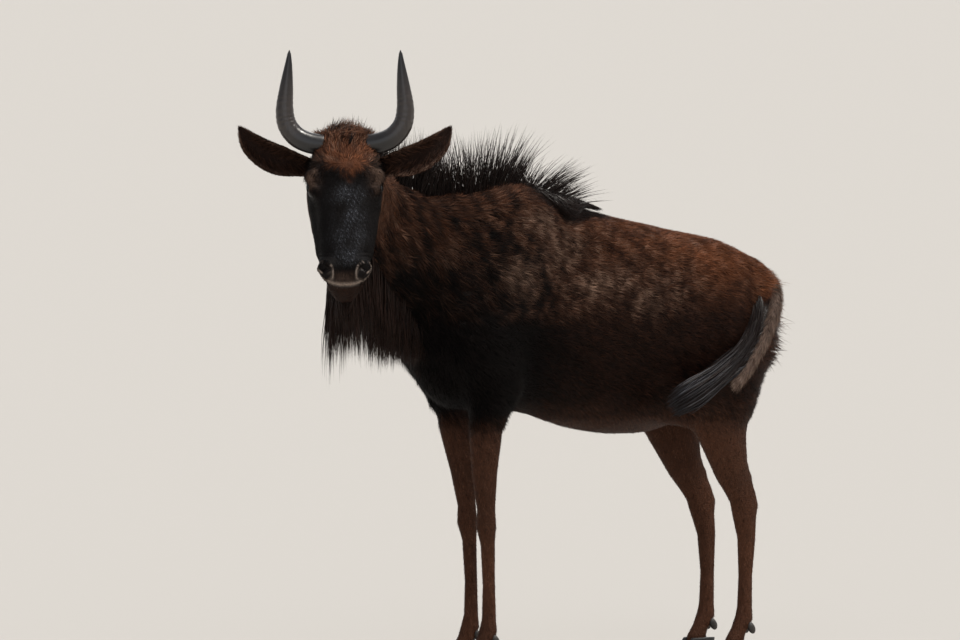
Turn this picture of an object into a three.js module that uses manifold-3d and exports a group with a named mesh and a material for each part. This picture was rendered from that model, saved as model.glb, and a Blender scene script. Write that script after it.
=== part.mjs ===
// A young blue wildebeest, life size, standing with its head turned to its left.
// Frame: millimetres, +Z up, the body faces -Y and its left side is +X. The origin
// lies on the ground, under the middle of the whole outline.
// The flesh is one implicit body: sections along the trunk and the head, tapered
// chains for the neck and the limbs, and smooth unions between them. Each named part
// of it is polygonised on its own grid and parted from the next by a thin cut.
// Every surface is the outer face of the coat.

import * as THREE from "three";
import Module from "manifold-3d";
import { mergeVertices } from "three/addons/utils/BufferGeometryUtils.js";

const wasm = await Module();
wasm.setup();

// Driving sizes of the standing animal
const WITHERS_HEIGHT = 1105;
const BACK_LOW_HEIGHT = 1000;
const BELLY_HEIGHT = 524;
const BRISKET_HEIGHT = 592;
const CHEST_FRONT_Y = -500;
const BUTTOCK_Y = 514;
const BELLY_HALF_WIDTH = 166;
const CHEST_HALF_WIDTH = 132;
const FOOT_HALF_SPREAD = 76;
const FORE_FOOT_Y = -332;
const RIGHT_FORELEG_LAG = 56;
const HIND_FOOT_Y = 393;

// The head's own frame: turned to the left of the body and pitched nose forward
const POLL = new THREE.Vector3(143, -781, 1258);
const HEAD_TURN = THREE.MathUtils.degToRad(55);
const FACE_PITCH = THREE.MathUtils.degToRad(25);
const EYE_RADIUS = 17.5;

// Gaps between touching parts, and where the limbs are cut from the rest
const GAP = 0.3;
const SLOT_GAP = 0.5;
const ELBOW_CUT_Z = 572;
const CORONET_Z = 38;

// Grid steps of each part of the flesh along X, Y and Z
const GRID = {
  head: [28, 28, 28],
  neck: [45, 45, 45],
  trunk: [56, 62, 57],
  limbTop: [27, 32, 40],
  limb: [15, 15.5, 36],
};

// How the grids are drawn onto the surface
const RELAXING = 0.35;
const FAR_OUTSIDE = 1e4;

// Small helpers for numbers and vectors

const clamp01 = (t) => Math.min(1, Math.max(0, t));
const mix = (a, b, t) => a + (b - a) * t;

// The polynomial smooth minimum of two distances, blended over a band of width k
function smoothMin(a, b, k) {
  const h = Math.max(k - Math.abs(a - b), 0) / k;
  return Math.min(a, b) - h * h * k * 0.25;
}

// A value read from a table of rows [position, value...] with smooth steps between rows
function readTable(rows, position) {
  const last = rows.length - 1;
  if (position <= rows[0][0]) return rows[0].slice(1);
  if (position >= rows[last][0]) return rows[last].slice(1);
  let i = 0;
  while (rows[i + 1][0] < position) i += 1;
  const before = rows[Math.max(i - 1, 0)];
  const after = rows[Math.min(i + 2, last)];
  const [a, b] = [rows[i], rows[i + 1]];
  const span = b[0] - a[0];
  const t = (position - a[0]) / span;
  const slope = (p, q, column) => ((q[column] - p[column]) / (q[0] - p[0] || 1)) * span;
  return a.slice(1).map((value, n) => {
    const column = n + 1;
    const [m0, m1] = [slope(before, b, column), slope(a, after, column)];
    const [t2, t3] = [t * t, t * t * t];
    return (2 * t3 - 3 * t2 + 1) * value + (t3 - 2 * t2 + t) * m0
      + (3 * t2 - 2 * t3) * b[column] + (t3 - t2) * m1;
  });
}

// Solid shapes as distance fields. Each has a box that holds it and a function that
// gives the distance of a point to its surface, negative inside.

// A chain of round-ended lengths with elliptic sections: rows [x, y, z, side, fore],
// where side is the half width along the chain's side axis and fore the other one
function chain(rows, sideAxis) {
  const nodes = rows.map(([x, y, z, side, fore]) => ({ at: new THREE.Vector3(x, y, z), side, fore }));
  const box = new THREE.Box3();
  for (const { at, side, fore } of nodes) {
    const reach = Math.max(side, fore);
    box.expandByPoint(at.clone().addScalar(reach)).expandByPoint(at.clone().addScalar(-reach));
  }
  const lengths = nodes.slice(1).map((b, i) => {
    const a = nodes[i];
    const axis = b.at.clone().sub(a.at);
    const length = axis.length();
    axis.normalize();
    const side = sideAxis.clone().addScaledVector(axis, -sideAxis.dot(axis)).normalize();
    const fore = new THREE.Vector3().crossVectors(axis, side);
    return { a, b, axis, length, side, fore };
  });
  const offset = new THREE.Vector3();
  const distance = (p) => {
    let nearest = FAR_OUTSIDE;
    for (const { a, b, axis, length, side, fore } of lengths) {
      offset.subVectors(p, a.at);
      const along = offset.dot(axis);
      const t = clamp01(along / length);
      const past = along - t * length;
      const [width, depth] = [mix(a.side, b.side, t), mix(a.fore, b.fore, t)];
      const [u, v] = [offset.dot(side), offset.dot(fore)];
      const q = Math.hypot(u / width, v / depth, past / Math.min(width, depth));
      const r = Math.hypot(u, v, past);
      nearest = Math.min(nearest, q < 1e-6 ? -Math.min(width, depth) : r * (1 - 1 / q));
    }
    return nearest;
  };
  return { box, distance };
}

// A body of egg-shaped sections along an axis: rows [station, level, up, down, width,
// squareness], where level is the height of the widest line and squareness the power
// of the section's curve. It is written in a frame given by a matrix: side, up, along.
function sections(rows, frontCap, rearCap, frame) {
  const toLocal = frame.clone().invert();
  const first = rows[0][0];
  const last = rows[rows.length - 1][0];
  const box = new THREE.Box3();
  for (const [station, level, up, down, width] of rows) {
    for (const side of [-width, width]) {
      for (const height of [level + up, level - down]) {
        for (const along of [station - frontCap, station + rearCap]) {
          box.expandByPoint(new THREE.Vector3(side, height, along).applyMatrix4(frame));
        }
      }
    }
  }
  const local = new THREE.Vector3();
  const distance = (p) => {
    local.copy(p).applyMatrix4(toLocal);
    const [level, up, down, width, power] = readTable(rows, local.z);
    const height = local.y - level;
    const half = height > 0 ? up : down;
    const section = (Math.abs(local.x / width) ** power + Math.abs(height / half) ** power) ** (1 / power);
    const before = Math.max(first - local.z, 0) / frontCap;
    const behind = Math.max(local.z - last, 0) / rearCap;
    const past = Math.max(first - local.z, local.z - last, 0);
    const q = Math.hypot(section, before, behind);
    const r = Math.hypot(local.x, height, past);
    return q < 1e-6 ? -Math.min(width, half) : r * (1 - 1 / q);
  };
  return { box, distance };
}

// An ellipsoid with its three half sizes along the axes of a frame
function ellipsoid(centre, halves, frame = new THREE.Matrix4()) {
  const toLocal = frame.clone().setPosition(0, 0, 0).invert();
  const reach = Math.max(...halves);
  const box = new THREE.Box3().setFromCenterAndSize(centre, new THREE.Vector3().setScalar(2 * reach));
  const local = new THREE.Vector3();
  const distance = (p) => {
    local.subVectors(p, centre).applyMatrix4(toLocal);
    const r = local.length();
    const q = Math.hypot(local.x / halves[0], local.y / halves[1], local.z / halves[2]);
    return q < 1e-6 ? -Math.min(...halves) : r * (1 - 1 / q);
  };
  return { box, distance };
}

// A body joins shapes in order: each is added, or taken away, over its own blend width
class Body {
  constructor() {
    this.steps = [];
  }

  add(shape, blend) {
    this.steps.push({ shape, blend, sign: 1, reach: shape.box.clone().expandByScalar(blend + 60) });
    return this;
  }

  carve(shape, blend) {
    this.steps.push({ shape, blend, sign: -1, reach: shape.box.clone().expandByScalar(blend + 20) });
    return this;
  }

  distance(p) {
    let d = FAR_OUTSIDE;
    for (const { shape, blend, sign, reach } of this.steps) {
      if (!reach.containsPoint(p)) continue;
      const other = shape.distance(p);
      d = sign > 0 ? smoothMin(d, other, blend) : -smoothMin(-d, other, blend);
    }
    return d;
  }
}

// Polygonises a body inside a box: one vertex in each grid cell that the surface
// crosses, drawn onto the surface along the gradient, and one quad round each grid
// edge that it crosses. The walls of the box close the mesh.
function polygonise(body, box, step) {
  const size = box.getSize(new THREE.Vector3());
  const cells = [0, 1, 2].map((n) => Math.ceil(size.getComponent(n) / step.getComponent(n)));
  const [nx, ny, nz] = cells.map((n) => n + 3);
  const corner = box.min.clone().sub(step);
  const at = (i, j, k) => new THREE.Vector3(i, j, k).multiply(step).add(corner);
  const inside = (p) => box.distanceToPoint(p) === 0;
  const index = (i, j, k) => (k * ny + j) * nx + i;
  const values = new Float64Array(nx * ny * nz);
  for (let k = 0; k < nz; k += 1) {
    for (let j = 0; j < ny; j += 1) {
      for (let i = 0; i < nx; i += 1) {
        const p = at(i, j, k);
        values[index(i, j, k)] = inside(p) ? body.distance(p) : step.x;
      }
    }
  }
  const corners = [0, 1, 2, 3, 4, 5, 6, 7].map((n) => [n & 1, (n >> 1) & 1, (n >> 2) & 1]);
  const cornersOf = (i, j, k) => corners.map(([a, b, c]) => index(i + a, j + b, k + c));
  untangle(values, cornersOf, [nx, ny, nz]);
  const vertexOf = new Map();
  const vertices = [];
  for (let k = 0; k < nz - 1; k += 1) {
    for (let j = 0; j < ny - 1; j += 1) {
      for (let i = 0; i < nx - 1; i += 1) {
        const here = cornersOf(i, j, k).map((n) => values[n]);
        const solid = here.filter((value) => value < 0).length;
        if (solid === 0 || solid === 8) continue;
        const sum = new THREE.Vector3();
        let crossings = 0;
        for (let m = 0; m < 8; m += 1) {
          for (const bit of [1, 2, 4]) {
            const n = m | bit;
            if (n === m || here[m] < 0 === here[n] < 0) continue;
            const t = here[m] / (here[m] - here[n]);
            const [a, b] = [corners[m], corners[n]];
            sum.add(new THREE.Vector3(mix(a[0], b[0], t), mix(a[1], b[1], t), mix(a[2], b[2], t)));
            crossings += 1;
          }
        }
        sum.divideScalar(crossings);
        vertexOf.set(index(i, j, k), vertices.length);
        vertices.push(at(i + sum.x, j + sum.y, k + sum.z));
      }
    }
  }
  const quads = [];
  const around = [[1, 2], [2, 0], [0, 1]];
  for (let k = 0; k < nz - 1; k += 1) {
    for (let j = 0; j < ny - 1; j += 1) {
      for (let i = 0; i < nx - 1; i += 1) {
        for (let axis = 0; axis < 3; axis += 1) {
          const next = [i, j, k];
          next[axis] += 1;
          const [low, high] = [values[index(i, j, k)], values[index(...next)]];
          if (low < 0 === high < 0) continue;
          const quad = [[0, 0], [1, 0], [1, 1], [0, 1]].map(([u, v]) => {
            const cell = [i, j, k];
            cell[around[axis][0]] -= u;
            cell[around[axis][1]] -= v;
            return vertexOf.get(index(...cell));
          });
          quads.push(low < 0 ? quad : quad.reverse());
        }
      }
    }
  }
  relax(vertices, quads, body, box, step);
  return fromQuads(vertices, quads);
}

// Makes the solid and the empty corners of every grid cell hang together along the
// cell's edges, by turning over the corner nearest to the surface, so that the mesh
// never touches itself
function untangle(values, cornersOf, [nx, ny, nz]) {
  const PASSES = 12;
  const linked = (here, solid) => {
    const wanted = here.map((value) => value < 0 === solid);
    const start = wanted.indexOf(true);
    const seen = new Set([start]);
    for (const m of seen) {
      for (const bit of [1, 2, 4]) if (wanted[m ^ bit]) seen.add(m ^ bit);
    }
    return start < 0 || seen.size === wanted.filter(Boolean).length;
  };
  for (let pass = 0; pass < PASSES; pass += 1) {
    let turned = 0;
    for (let k = 0; k < nz - 1; k += 1) {
      for (let j = 0; j < ny - 1; j += 1) {
        for (let i = 0; i < nx - 1; i += 1) {
          const nodes = cornersOf(i, j, k);
          const here = nodes.map((n) => values[n]);
          if (linked(here, true) && linked(here, false)) continue;
          const solidOnes = nodes.filter((n) => values[n] < 0);
          const nearest = solidOnes.reduce((a, b) => (values[a] > values[b] ? a : b));
          values[nearest] = -values[nearest];
          turned += 1;
        }
      }
    }
    if (turned === 0) return;
  }
}

// Evens the vertices out and draws them back onto the surface of the body
function relax(vertices, quads, body, box, step) {
  const reach = Math.min(step.x, step.y, step.z);
  const free = vertices.map((p) => {
    const margin = Math.min(p.x - box.min.x, box.max.x - p.x, p.y - box.min.y, box.max.y - p.y,
      p.z - box.min.z, box.max.z - p.z);
    return margin > reach;
  });
  const ROUNDS = 3;
  for (let round = 0; round < ROUNDS; round += 1) {
    const sums = vertices.map(() => new THREE.Vector3());
    const counts = new Float64Array(vertices.length);
    for (const quad of quads) {
      quad.forEach((vertex, n) => {
        sums[vertex].add(vertices[quad[(n + 1) % 4]]).add(vertices[quad[(n + 3) % 4]]);
        counts[vertex] += 2;
      });
    }
    vertices.forEach((p, n) => {
      if (!free[n]) return;
      p.lerp(sums[n].divideScalar(counts[n]), RELAXING);
      drawOnto(p, body, reach);
    });
  }
}

// Moves a point onto the body's surface by a few damped steps along the gradient
function drawOnto(p, body, reach) {
  const PROBE = 0.5;
  const STEPS = 4;
  const gradient = new THREE.Vector3();
  const probe = new THREE.Vector3();
  for (let round = 0; round < STEPS; round += 1) {
    const here = body.distance(p);
    for (let n = 0; n < 3; n += 1) {
      probe.copy(p);
      probe.setComponent(n, p.getComponent(n) + PROBE);
      gradient.setComponent(n, (body.distance(probe) - here) / PROBE);
    }
    const steep = gradient.lengthSq();
    if (steep < 1e-3) return;
    const move = THREE.MathUtils.clamp(-here / steep, -reach / 2, reach / 2);
    p.addScaledVector(gradient, move);
  }
}

// A geometry from quads, each split along its shorter diagonal
function fromQuads(vertices, quads) {
  const geometry = new THREE.BufferGeometry();
  const numbers = vertices.flatMap((p) => p.toArray());
  geometry.setAttribute("position", new THREE.Float32BufferAttribute(numbers, 3));
  const triangles = [];
  for (const [a, b, c, d] of quads) {
    const short = vertices[a].distanceToSquared(vertices[c]) < vertices[b].distanceToSquared(vertices[d]);
    triangles.push(...(short ? [a, b, c, a, c, d] : [a, b, d, b, c, d]));
  }
  geometry.setIndex(triangles);
  return geometry;
}

// Solids for cuts and joins

function toSolid(geometry) {
  const bare = geometry.clone();
  for (const name of Object.keys(bare.attributes)) {
    if (name !== "position") bare.deleteAttribute(name);
  }
  const merged = mergeVertices(bare, 1e-4);
  const solid = new wasm.Manifold(new wasm.Mesh({
    numProp: 3,
    vertProperties: Float32Array.from(merged.attributes.position.array),
    triVerts: Uint32Array.from(merged.index.array),
  }));
  return solid;
}

function toGeometry(solid) {
  const mesh = solid.getMesh();
  const geometry = new THREE.BufferGeometry();
  geometry.setAttribute("position", new THREE.BufferAttribute(Float32Array.from(mesh.vertProperties), 3));
  geometry.setIndex(new THREE.BufferAttribute(Uint32Array.from(mesh.triVerts), 1));
  geometry.computeVertexNormals();
  return geometry;
}

// The same solid with its surface pushed out, to cut a neighbour with a thin gap
function swollen(solid, by) {
  const geometry = toGeometry(solid);
  const { position, normal } = geometry.attributes;
  for (let n = 0; n < position.count; n += 1) {
    position.setXYZ(n, position.getX(n) + normal.getX(n) * by, position.getY(n) + normal.getY(n) * by,
      position.getZ(n) + normal.getZ(n) * by);
  }
  return toSolid(geometry);
}

// What is left of a solid when another one and a thin gap round it are cut away
function clearOf(solid, other) {
  return largestPiece(solid.subtract(swollen(other, SLOT_GAP)).subtract(other));
}

// The largest of a solid's separate pieces
function largestPiece(solid) {
  return solid.decompose().reduce((a, b) => (a.volume() > b.volume() ? a : b));
}

// A thin solid whose two faces are grids over u and v: place(u, v, face) gives a point
// of the face +1 or -1, and walls close the rim
function slab(uSteps, vSteps, place) {
  const vertices = [];
  const quads = [];
  const index = (i, j, face) => (face > 0 ? 0 : (uSteps + 1) * (vSteps + 1)) + i * (vSteps + 1) + j;
  for (const face of [1, -1]) {
    for (let i = 0; i <= uSteps; i += 1) {
      for (let j = 0; j <= vSteps; j += 1) vertices.push(place(i / uSteps, j / vSteps, face));
    }
  }
  for (let i = 0; i < uSteps; i += 1) {
    for (let j = 0; j < vSteps; j += 1) {
      const ring = [[i, j], [i + 1, j], [i + 1, j + 1], [i, j + 1]];
      quads.push(ring.map(([a, b]) => index(a, b, 1)));
      quads.push(ring.reverse().map(([a, b]) => index(a, b, -1)));
    }
  }
  const rim = [];
  for (let i = 0; i < uSteps; i += 1) rim.push([i, 0]);
  for (let j = 0; j < vSteps; j += 1) rim.push([uSteps, j]);
  for (let i = uSteps; i > 0; i -= 1) rim.push([i, vSteps]);
  for (let j = vSteps; j > 0; j -= 1) rim.push([0, j]);
  rim.forEach(([i, j], n) => {
    const [k, l] = rim[(n + 1) % rim.length];
    quads.push([index(k, l, 1), index(i, j, 1), index(i, j, -1), index(k, l, -1)]);
  });
  return outward(fromQuads(vertices, quads));
}

// A closed spindle along a curve: ring(t) gives its half width and half depth at t, and
// sideAxis the direction of the width
function spindle(points, ring, steps, sides, sideAxis) {
  const curve = new THREE.CatmullRomCurve3(points, false, "centripetal");
  const vertices = [];
  const quads = [];
  for (let i = 0; i <= steps; i += 1) {
    const t = i / steps;
    const at = curve.getPointAt(t);
    const along = curve.getTangentAt(t);
    const side = sideAxis.clone().addScaledVector(along, -sideAxis.dot(along)).normalize();
    const fore = new THREE.Vector3().crossVectors(along, side);
    const [width, depth] = ring(t);
    for (let j = 0; j < sides; j += 1) {
      const angle = (j / sides) * 2 * Math.PI;
      vertices.push(at.clone().addScaledVector(side, Math.cos(angle) * width)
        .addScaledVector(fore, Math.sin(angle) * depth));
    }
  }
  for (let i = 0; i < steps; i += 1) {
    for (let j = 0; j < sides; j += 1) {
      const k = (j + 1) % sides;
      quads.push([i * sides + j, i * sides + k, (i + 1) * sides + k, (i + 1) * sides + j]);
    }
  }
  const geometry = fromQuads(vertices, quads);
  const triangles = [...geometry.index.array];
  for (let j = 1; j < sides - 1; j += 1) {
    const top = steps * sides;
    triangles.push(0, j + 1, j);
    triangles.push(top, top + j, top + j + 1);
  }
  geometry.setIndex(triangles);
  return outward(geometry);
}

// Turns a closed mesh right side out, judged by its signed volume
function outward(geometry) {
  const { position } = geometry.attributes;
  const index = geometry.index.array;
  const corner = (n) => new THREE.Vector3().fromBufferAttribute(position, index[n]);
  let volume = 0;
  for (let n = 0; n < index.length; n += 3) volume += corner(n).dot(corner(n + 1).cross(corner(n + 2)));
  if (volume < 0) {
    for (let n = 0; n < index.length; n += 3) [index[n + 1], index[n + 2]] = [index[n + 2], index[n + 1]];
  }
  return geometry;
}

// A block for cutting: a flat outline drawn in a frame's first two axes and drawn out
// along its third from one depth to another
function block(outline, frame, from, to) {
  const shape = new THREE.Shape(outline.map(([a, b]) => new THREE.Vector2(a, b)));
  const geometry = new THREE.ExtrudeGeometry(shape, { depth: to - from, bevelEnabled: false });
  geometry.translate(0, 0, from).applyMatrix4(frame);
  return toSolid(geometry);
}

// Frames: the side view of the body, the body's sections, and the head

const X_AXIS = new THREE.Vector3(1, 0, 0);
const Y_AXIS = new THREE.Vector3(0, 1, 0);
const Z_AXIS = new THREE.Vector3(0, 0, 1);
const SIDE_VIEW = new THREE.Matrix4().makeBasis(Y_AXIS, Z_AXIS, X_AXIS);
const BODY_FRAME = new THREE.Matrix4().makeBasis(X_AXIS, Z_AXIS, Y_AXIS);

const HEAD_FORWARD = new THREE.Vector3(Math.sin(HEAD_TURN), -Math.cos(HEAD_TURN), 0);
const HEAD_LEFT = new THREE.Vector3(Math.cos(HEAD_TURN), Math.sin(HEAD_TURN), 0);
const FACE_DOWN = HEAD_FORWARD.clone().multiplyScalar(Math.sin(FACE_PITCH))
  .addScaledVector(Z_AXIS, -Math.cos(FACE_PITCH));
const FACE_OUT = HEAD_FORWARD.clone().multiplyScalar(Math.cos(FACE_PITCH))
  .addScaledVector(Z_AXIS, Math.sin(FACE_PITCH));
const HEAD_FRAME = new THREE.Matrix4().makeBasis(HEAD_LEFT, FACE_OUT, FACE_DOWN).setPosition(POLL);
const HEAD_SIDE_VIEW = new THREE.Matrix4().makeBasis(FACE_DOWN, FACE_OUT,
  new THREE.Vector3().crossVectors(FACE_DOWN, FACE_OUT)).setPosition(POLL);

// A point of the head: to its left, out of the face, and down along the face
const onHead = (left, out, down) => new THREE.Vector3(left, out, down).applyMatrix4(HEAD_FRAME);

// A point in the head's upright frame: to its left, forward and up from the poll
const byPoll = (left, forward, up) => POLL.clone().addScaledVector(HEAD_LEFT, left)
  .addScaledVector(HEAD_FORWARD, forward).addScaledVector(Z_AXIS, up);

// The trunk: egg-shaped sections from the breast to the buttocks, with the shoulders
// and the haunches laid on its sides

function addTrunk(body) {
  const sectionAt = (y, top, bottom, level, width, power) => (
    [y, level, top - level, level - bottom, width, power]
  );
  const rows = [
    sectionAt(-370, 1060, BRISKET_HEIGHT + 8, 790, 104, 2.0),
    sectionAt(-280, 1090, BRISKET_HEIGHT, 790, 118, 1.9),
    sectionAt(-190, WITHERS_HEIGHT, 582, 780, CHEST_HALF_WIDTH, 1.8),
    sectionAt(-60, 1066, 543, 760, 154, 1.9),
    sectionAt(70, 1030, BELLY_HEIGHT, 755, BELLY_HALF_WIDTH, 2.0),
    sectionAt(190, BACK_LOW_HEIGHT + 4, 534, 770, 162, 2.1),
    sectionAt(310, 981, 600, 800, 138, 2.1),
    sectionAt(400, 952, 690, 820, 100, 2.1),
  ];
  body.add(sections(rows, -370 - CHEST_FRONT_Y, BUTTOCK_Y - 400, BODY_FRAME), 1);
  for (const side of [-1, 1]) {
    const scapula = [
      [side * 52, -205, 1040, 34, 62],
      [side * 78, -300, 880, 46, 92],
      [side * 92, -372, 745, 48, 84],
    ];
    const upperArm = [
      [side * 92, -372, 735, 46, 66],
      [side * 94, -328, 640, 42, 62],
    ];
    const thigh = [
      [side * 72, 330, 880, 58, 112],
      [side * 98, 322, 740, 62, 122],
      [side * 108, 282, 620, 54, 98],
    ];
    const flank = [
      [side * 96, 90, 620, 40, 40],
      [side * 112, 200, 590, 30, 44],
    ];
    const hipPoint = [
      [side * 84, 206, 948, 30, 34],
      [side * 62, 300, 950, 26, 34],
    ];
    body.add(chain(hipPoint, X_AXIS), 60);
    body.add(chain(scapula, X_AXIS), 70);
    body.add(chain(upperArm, X_AXIS), 70);
    body.add(chain(thigh, X_AXIS), 80);
    body.add(chain(flank, X_AXIS), 60);
  }
}

// The neck rises forward from the withers and bends to the left to meet the skull

function addNeck(body) {
  const rows = [
    [0, -250, 925, 104, 172],
    [4, -400, 925, 90, 172],
    [28, -530, 965, 78, 142],
    [62, -650, 1040, 66, 118],
    [96, -728, 1115, 60, 100],
    [108, -748, 1160, 56, 84],
  ];
  body.add(chain(rows, X_AXIS), 90);
}

// The limbs: rows of x, y, z, half width and half depth down each leg. The right
// foreleg stands a little behind the left one.

function addLimbs(body) {
  for (const side of [-1, 1]) {
    const lag = side < 0 ? RIGHT_FORELEG_LAG : 0;
    const spread = side * FOOT_HALF_SPREAD;
    const foreleg = [
      [side * 94, -330 + lag * 0.3, 650, 38, 56],
      [side * 90, -350 + lag * 0.7, 560, 33, 45],
      [side * 84, -350 + lag, 460, 26, 35],
      [side * 79, -342 + lag, 372, 20, 25],
      [side * 78, -341 + lag, 332, 23, 27],
      [side * 77, -336 + lag, 292, 18, 20],
      [spread, FORE_FOOT_Y + lag, 195, 15, 18],
      [spread, FORE_FOOT_Y + lag, 118, 17, 20],
      [spread, FORE_FOOT_Y - 2 + lag, 92, 21, 24],
      [spread, FORE_FOOT_Y - 16 + lag, 62, 19, 21],
      [spread, FORE_FOOT_Y - 28 + lag, 34, 21, 26],
    ];
    const hindLeg = [
      [side * 110, 250, 640, 48, 92],
      [side * 104, 292, 520, 34, 49],
      [side * 95, 332, 435, 25, 36],
      [side * 88, 372, 372, 22, 33],
      [side * 84, 385, 330, 24, 33],
      [side * 80, HIND_FOOT_Y, 280, 19, 26],
      [spread, HIND_FOOT_Y, 190, 16, 20],
      [spread, HIND_FOOT_Y - 2, 118, 18, 21],
      [spread, HIND_FOOT_Y - 4, 92, 21, 24],
      [spread, HIND_FOOT_Y - 20, 62, 19, 21],
      [spread, HIND_FOOT_Y - 32, 34, 21, 26],
    ];
    const hockPoint = [
      [side * 90, 384, 415, 12, 14],
      [side * 85, 403, 354, 14, 16],
    ];
    body.add(chain(foreleg, X_AXIS), 34);
    body.add(chain(hindLeg, X_AXIS), 34);
    body.add(chain(hockPoint, X_AXIS), 22);
  }
}

// The head: long and deep, with a flat face, raised brows, deep cheeks and a wide
// muzzle. Each row is a distance down the face, the level of the widest line, the
// height of the face above it, the depth of the jaw below it, half width and power.

function addHead(body) {
  const rows = [
    [6, -52, 46, 64, 74, 2.3],
    [50, -56, 60, 84, 82, 2.4],
    [100, -58, 60, 104, 85, 2.5],
    [145, -58, 57, 104, 82, 2.5],
    [200, -62, 60, 84, 70, 2.6],
    [265, -58, 54, 62, 62, 2.7],
    [322, -56, 48, 50, 59, 2.8],
    [352, -58, 42, 46, 57, 2.6],
  ];
  body.add(sections(rows, 34, 36, HEAD_FRAME), 30);
  for (const side of [-1, 1]) {
    const cheek = [[130, -98], [200, -92]].map(([down, out], n) => {
      const at = onHead(side * (52 - n * 6), out, down);
      return [at.x, at.y, at.z, 26, 46 - n * 12];
    });
    const brow = [[104, -24], [136, -20]].map(([down, out], n) => {
      const at = onHead(side * (72 - n), out, down);
      return [at.x, at.y, at.z, 16, 14];
    });
    const nostrilRim = onHead(side * 38, -24, 330);
    body.add(chain(cheek, HEAD_LEFT), 34);
    body.add(chain(brow, HEAD_LEFT), 16);
    body.add(ellipsoid(nostrilRim, [22, 22, 26], HEAD_FRAME), 16);
  }
  body.add(ellipsoid(onHead(0, -90, 362), [44, 26, 28], HEAD_FRAME), 18);
  body.add(ellipsoid(onHead(0, -30, 6), [40, 26, 34], HEAD_FRAME), 26);
  for (const side of [-1, 1]) {
    body.carve(ellipsoid(onHead(side * 40, -10, 336), [8, 12, 11], HEAD_FRAME), 8);
  }
}

// The named parts of the flesh, each on its own grid and cut out by a block

const body = new Body();
addTrunk(body);
addNeck(body);
addLimbs(body);
addHead(body);

const boxOf = (min, max) => new THREE.Box3(new THREE.Vector3(...min), new THREE.Vector3(...max));

const skullCut = [[-110, -60], [-60, -74], [190, -214], [460, -214], [460, 120], [-110, 120]];
const NECK_LINE = [[-262, 1150], [-530, 735]];
const neckOutline = [[-262, 1400], ...NECK_LINE, [-1200, 735], [-1200, 1400]];
const hindCutLine = [[140, 520], [470, 648]];
const hindOutline = [[140, -20], [560, -20], [560, 683], ...hindCutLine.slice().reverse()];
const foreOutline = [[-480, -20], [-180, -20], [-180, ELBOW_CUT_Z], [-480, ELBOW_CUT_Z]];

const HEAD_SPAN = 260;
const headBlock = block(skullCut, HEAD_SIDE_VIEW, -HEAD_SPAN, HEAD_SPAN);
const neckBlock = block(neckOutline, SIDE_VIEW, -400, 600);
const hoofOutline = [[-600, -60], [600, -60], [600, CORONET_Z], [-600, CORONET_Z]];
const groundBlock = block(hoofOutline, SIDE_VIEW, -300, 300);

const pieces = new Map();

function fleshPiece(box, step) {
  return toSolid(polygonise(body, box, new THREE.Vector3(...step)));
}

const wholeHead = fleshPiece(boxOf([-80, -1120, 780], [420, -620, 1340]), GRID.head);
pieces.set("head", largestPiece(wholeHead.intersect(headBlock)));

const neckPart = fleshPiece(boxOf([-180, -900, 700], [260, -200, 1340]), GRID.neck);
pieces.set("neck", largestPiece(neckPart.intersect(neckBlock).subtract(swollen(headBlock, GAP))));

const legBlocks = new Map();
for (const [sideName, side] of [["left", 1], ["right", -1]]) {
  const [from, to] = side > 0 ? [GAP, 260] : [-260, -GAP];
  legBlocks.set(`leg_front_${sideName}`, block(foreOutline, SIDE_VIEW, from, to));
  legBlocks.set(`leg_hind_${sideName}`, block(hindOutline, SIDE_VIEW, from, to));
}
for (const [name, cutter] of legBlocks) {
  const side = name.endsWith("left") ? 1 : -1;
  const hind = name.includes("hind");
  const xs = side > 0 ? [-30, 230] : [-230, 30];
  const ys = hind ? [90, 520] : [-480, -160];
  const top = hind ? 720 : ELBOW_CUT_Z + 60;
  const seam = hind ? 430 : 470;
  const upper = fleshPiece(boxOf([xs[0], ys[0], seam - 30], [xs[1], ys[1], top]), GRID.limbTop);
  const lower = fleshPiece(boxOf([xs[0], ys[0], 10], [xs[1], ys[1], seam + 30]), GRID.limb);
  const joined = upper.trimByPlane([0, 0, 1], seam).add(lower.trimByPlane([0, 0, -1], -seam));
  pieces.set(name, largestPiece(joined.intersect(cutter).subtract(swollen(groundBlock, GAP / 2))));
}

let trunk = fleshPiece(boxOf([-230, -560, 440], [230, 560, 1180]), GRID.trunk);
trunk = trunk.subtract(swollen(neckBlock, GAP));
for (const cutter of legBlocks.values()) trunk = trunk.subtract(swollen(cutter, GAP));
pieces.set("trunk", largestPiece(trunk));

// The eyes sit in sockets at the sides of the brow

const eyes = new Map();
for (const [sideName, side] of [["left", 1], ["right", -1]]) {
  const ball = new THREE.SphereGeometry(EYE_RADIUS, 10, 7);
  const centre = onHead(side * 68, -36, 126);
  ball.translate(centre.x, centre.y, centre.z);
  const eye = toSolid(ball);
  eyes.set(`eye_${sideName}`, eye);
  pieces.set("head", pieces.get("head").subtract(swollen(eye, GAP)));
}

// Horns: out from the sides of the poll, then straight up with the tips slightly in

const HORN_BASE_RADIUS = 24.5;
const HORN_TIP_RADIUS = 3;

function hornSolid(side) {
  const route = [
    [52, -24, -32], [84, -22, -26], [112, -24, -12], [132, -27, 14],
    [138, -30, 48], [134, -35, 98], [129, -41, 150], [127, -45, 184],
  ].map(([left, forward, up]) => byPoll(side * left, forward, up));
  const ring = (t) => {
    const radius = HORN_TIP_RADIUS + (HORN_BASE_RADIUS - HORN_TIP_RADIUS) * (1 - t ** 2.4);
    return [radius, radius];
  };
  return toSolid(spindle(route, ring, 13, 9, HEAD_FORWARD));
}

// Ears: long leaves set below the horns, held out sideways with the cup to the front

const EAR_THICKNESS = 6;

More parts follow.
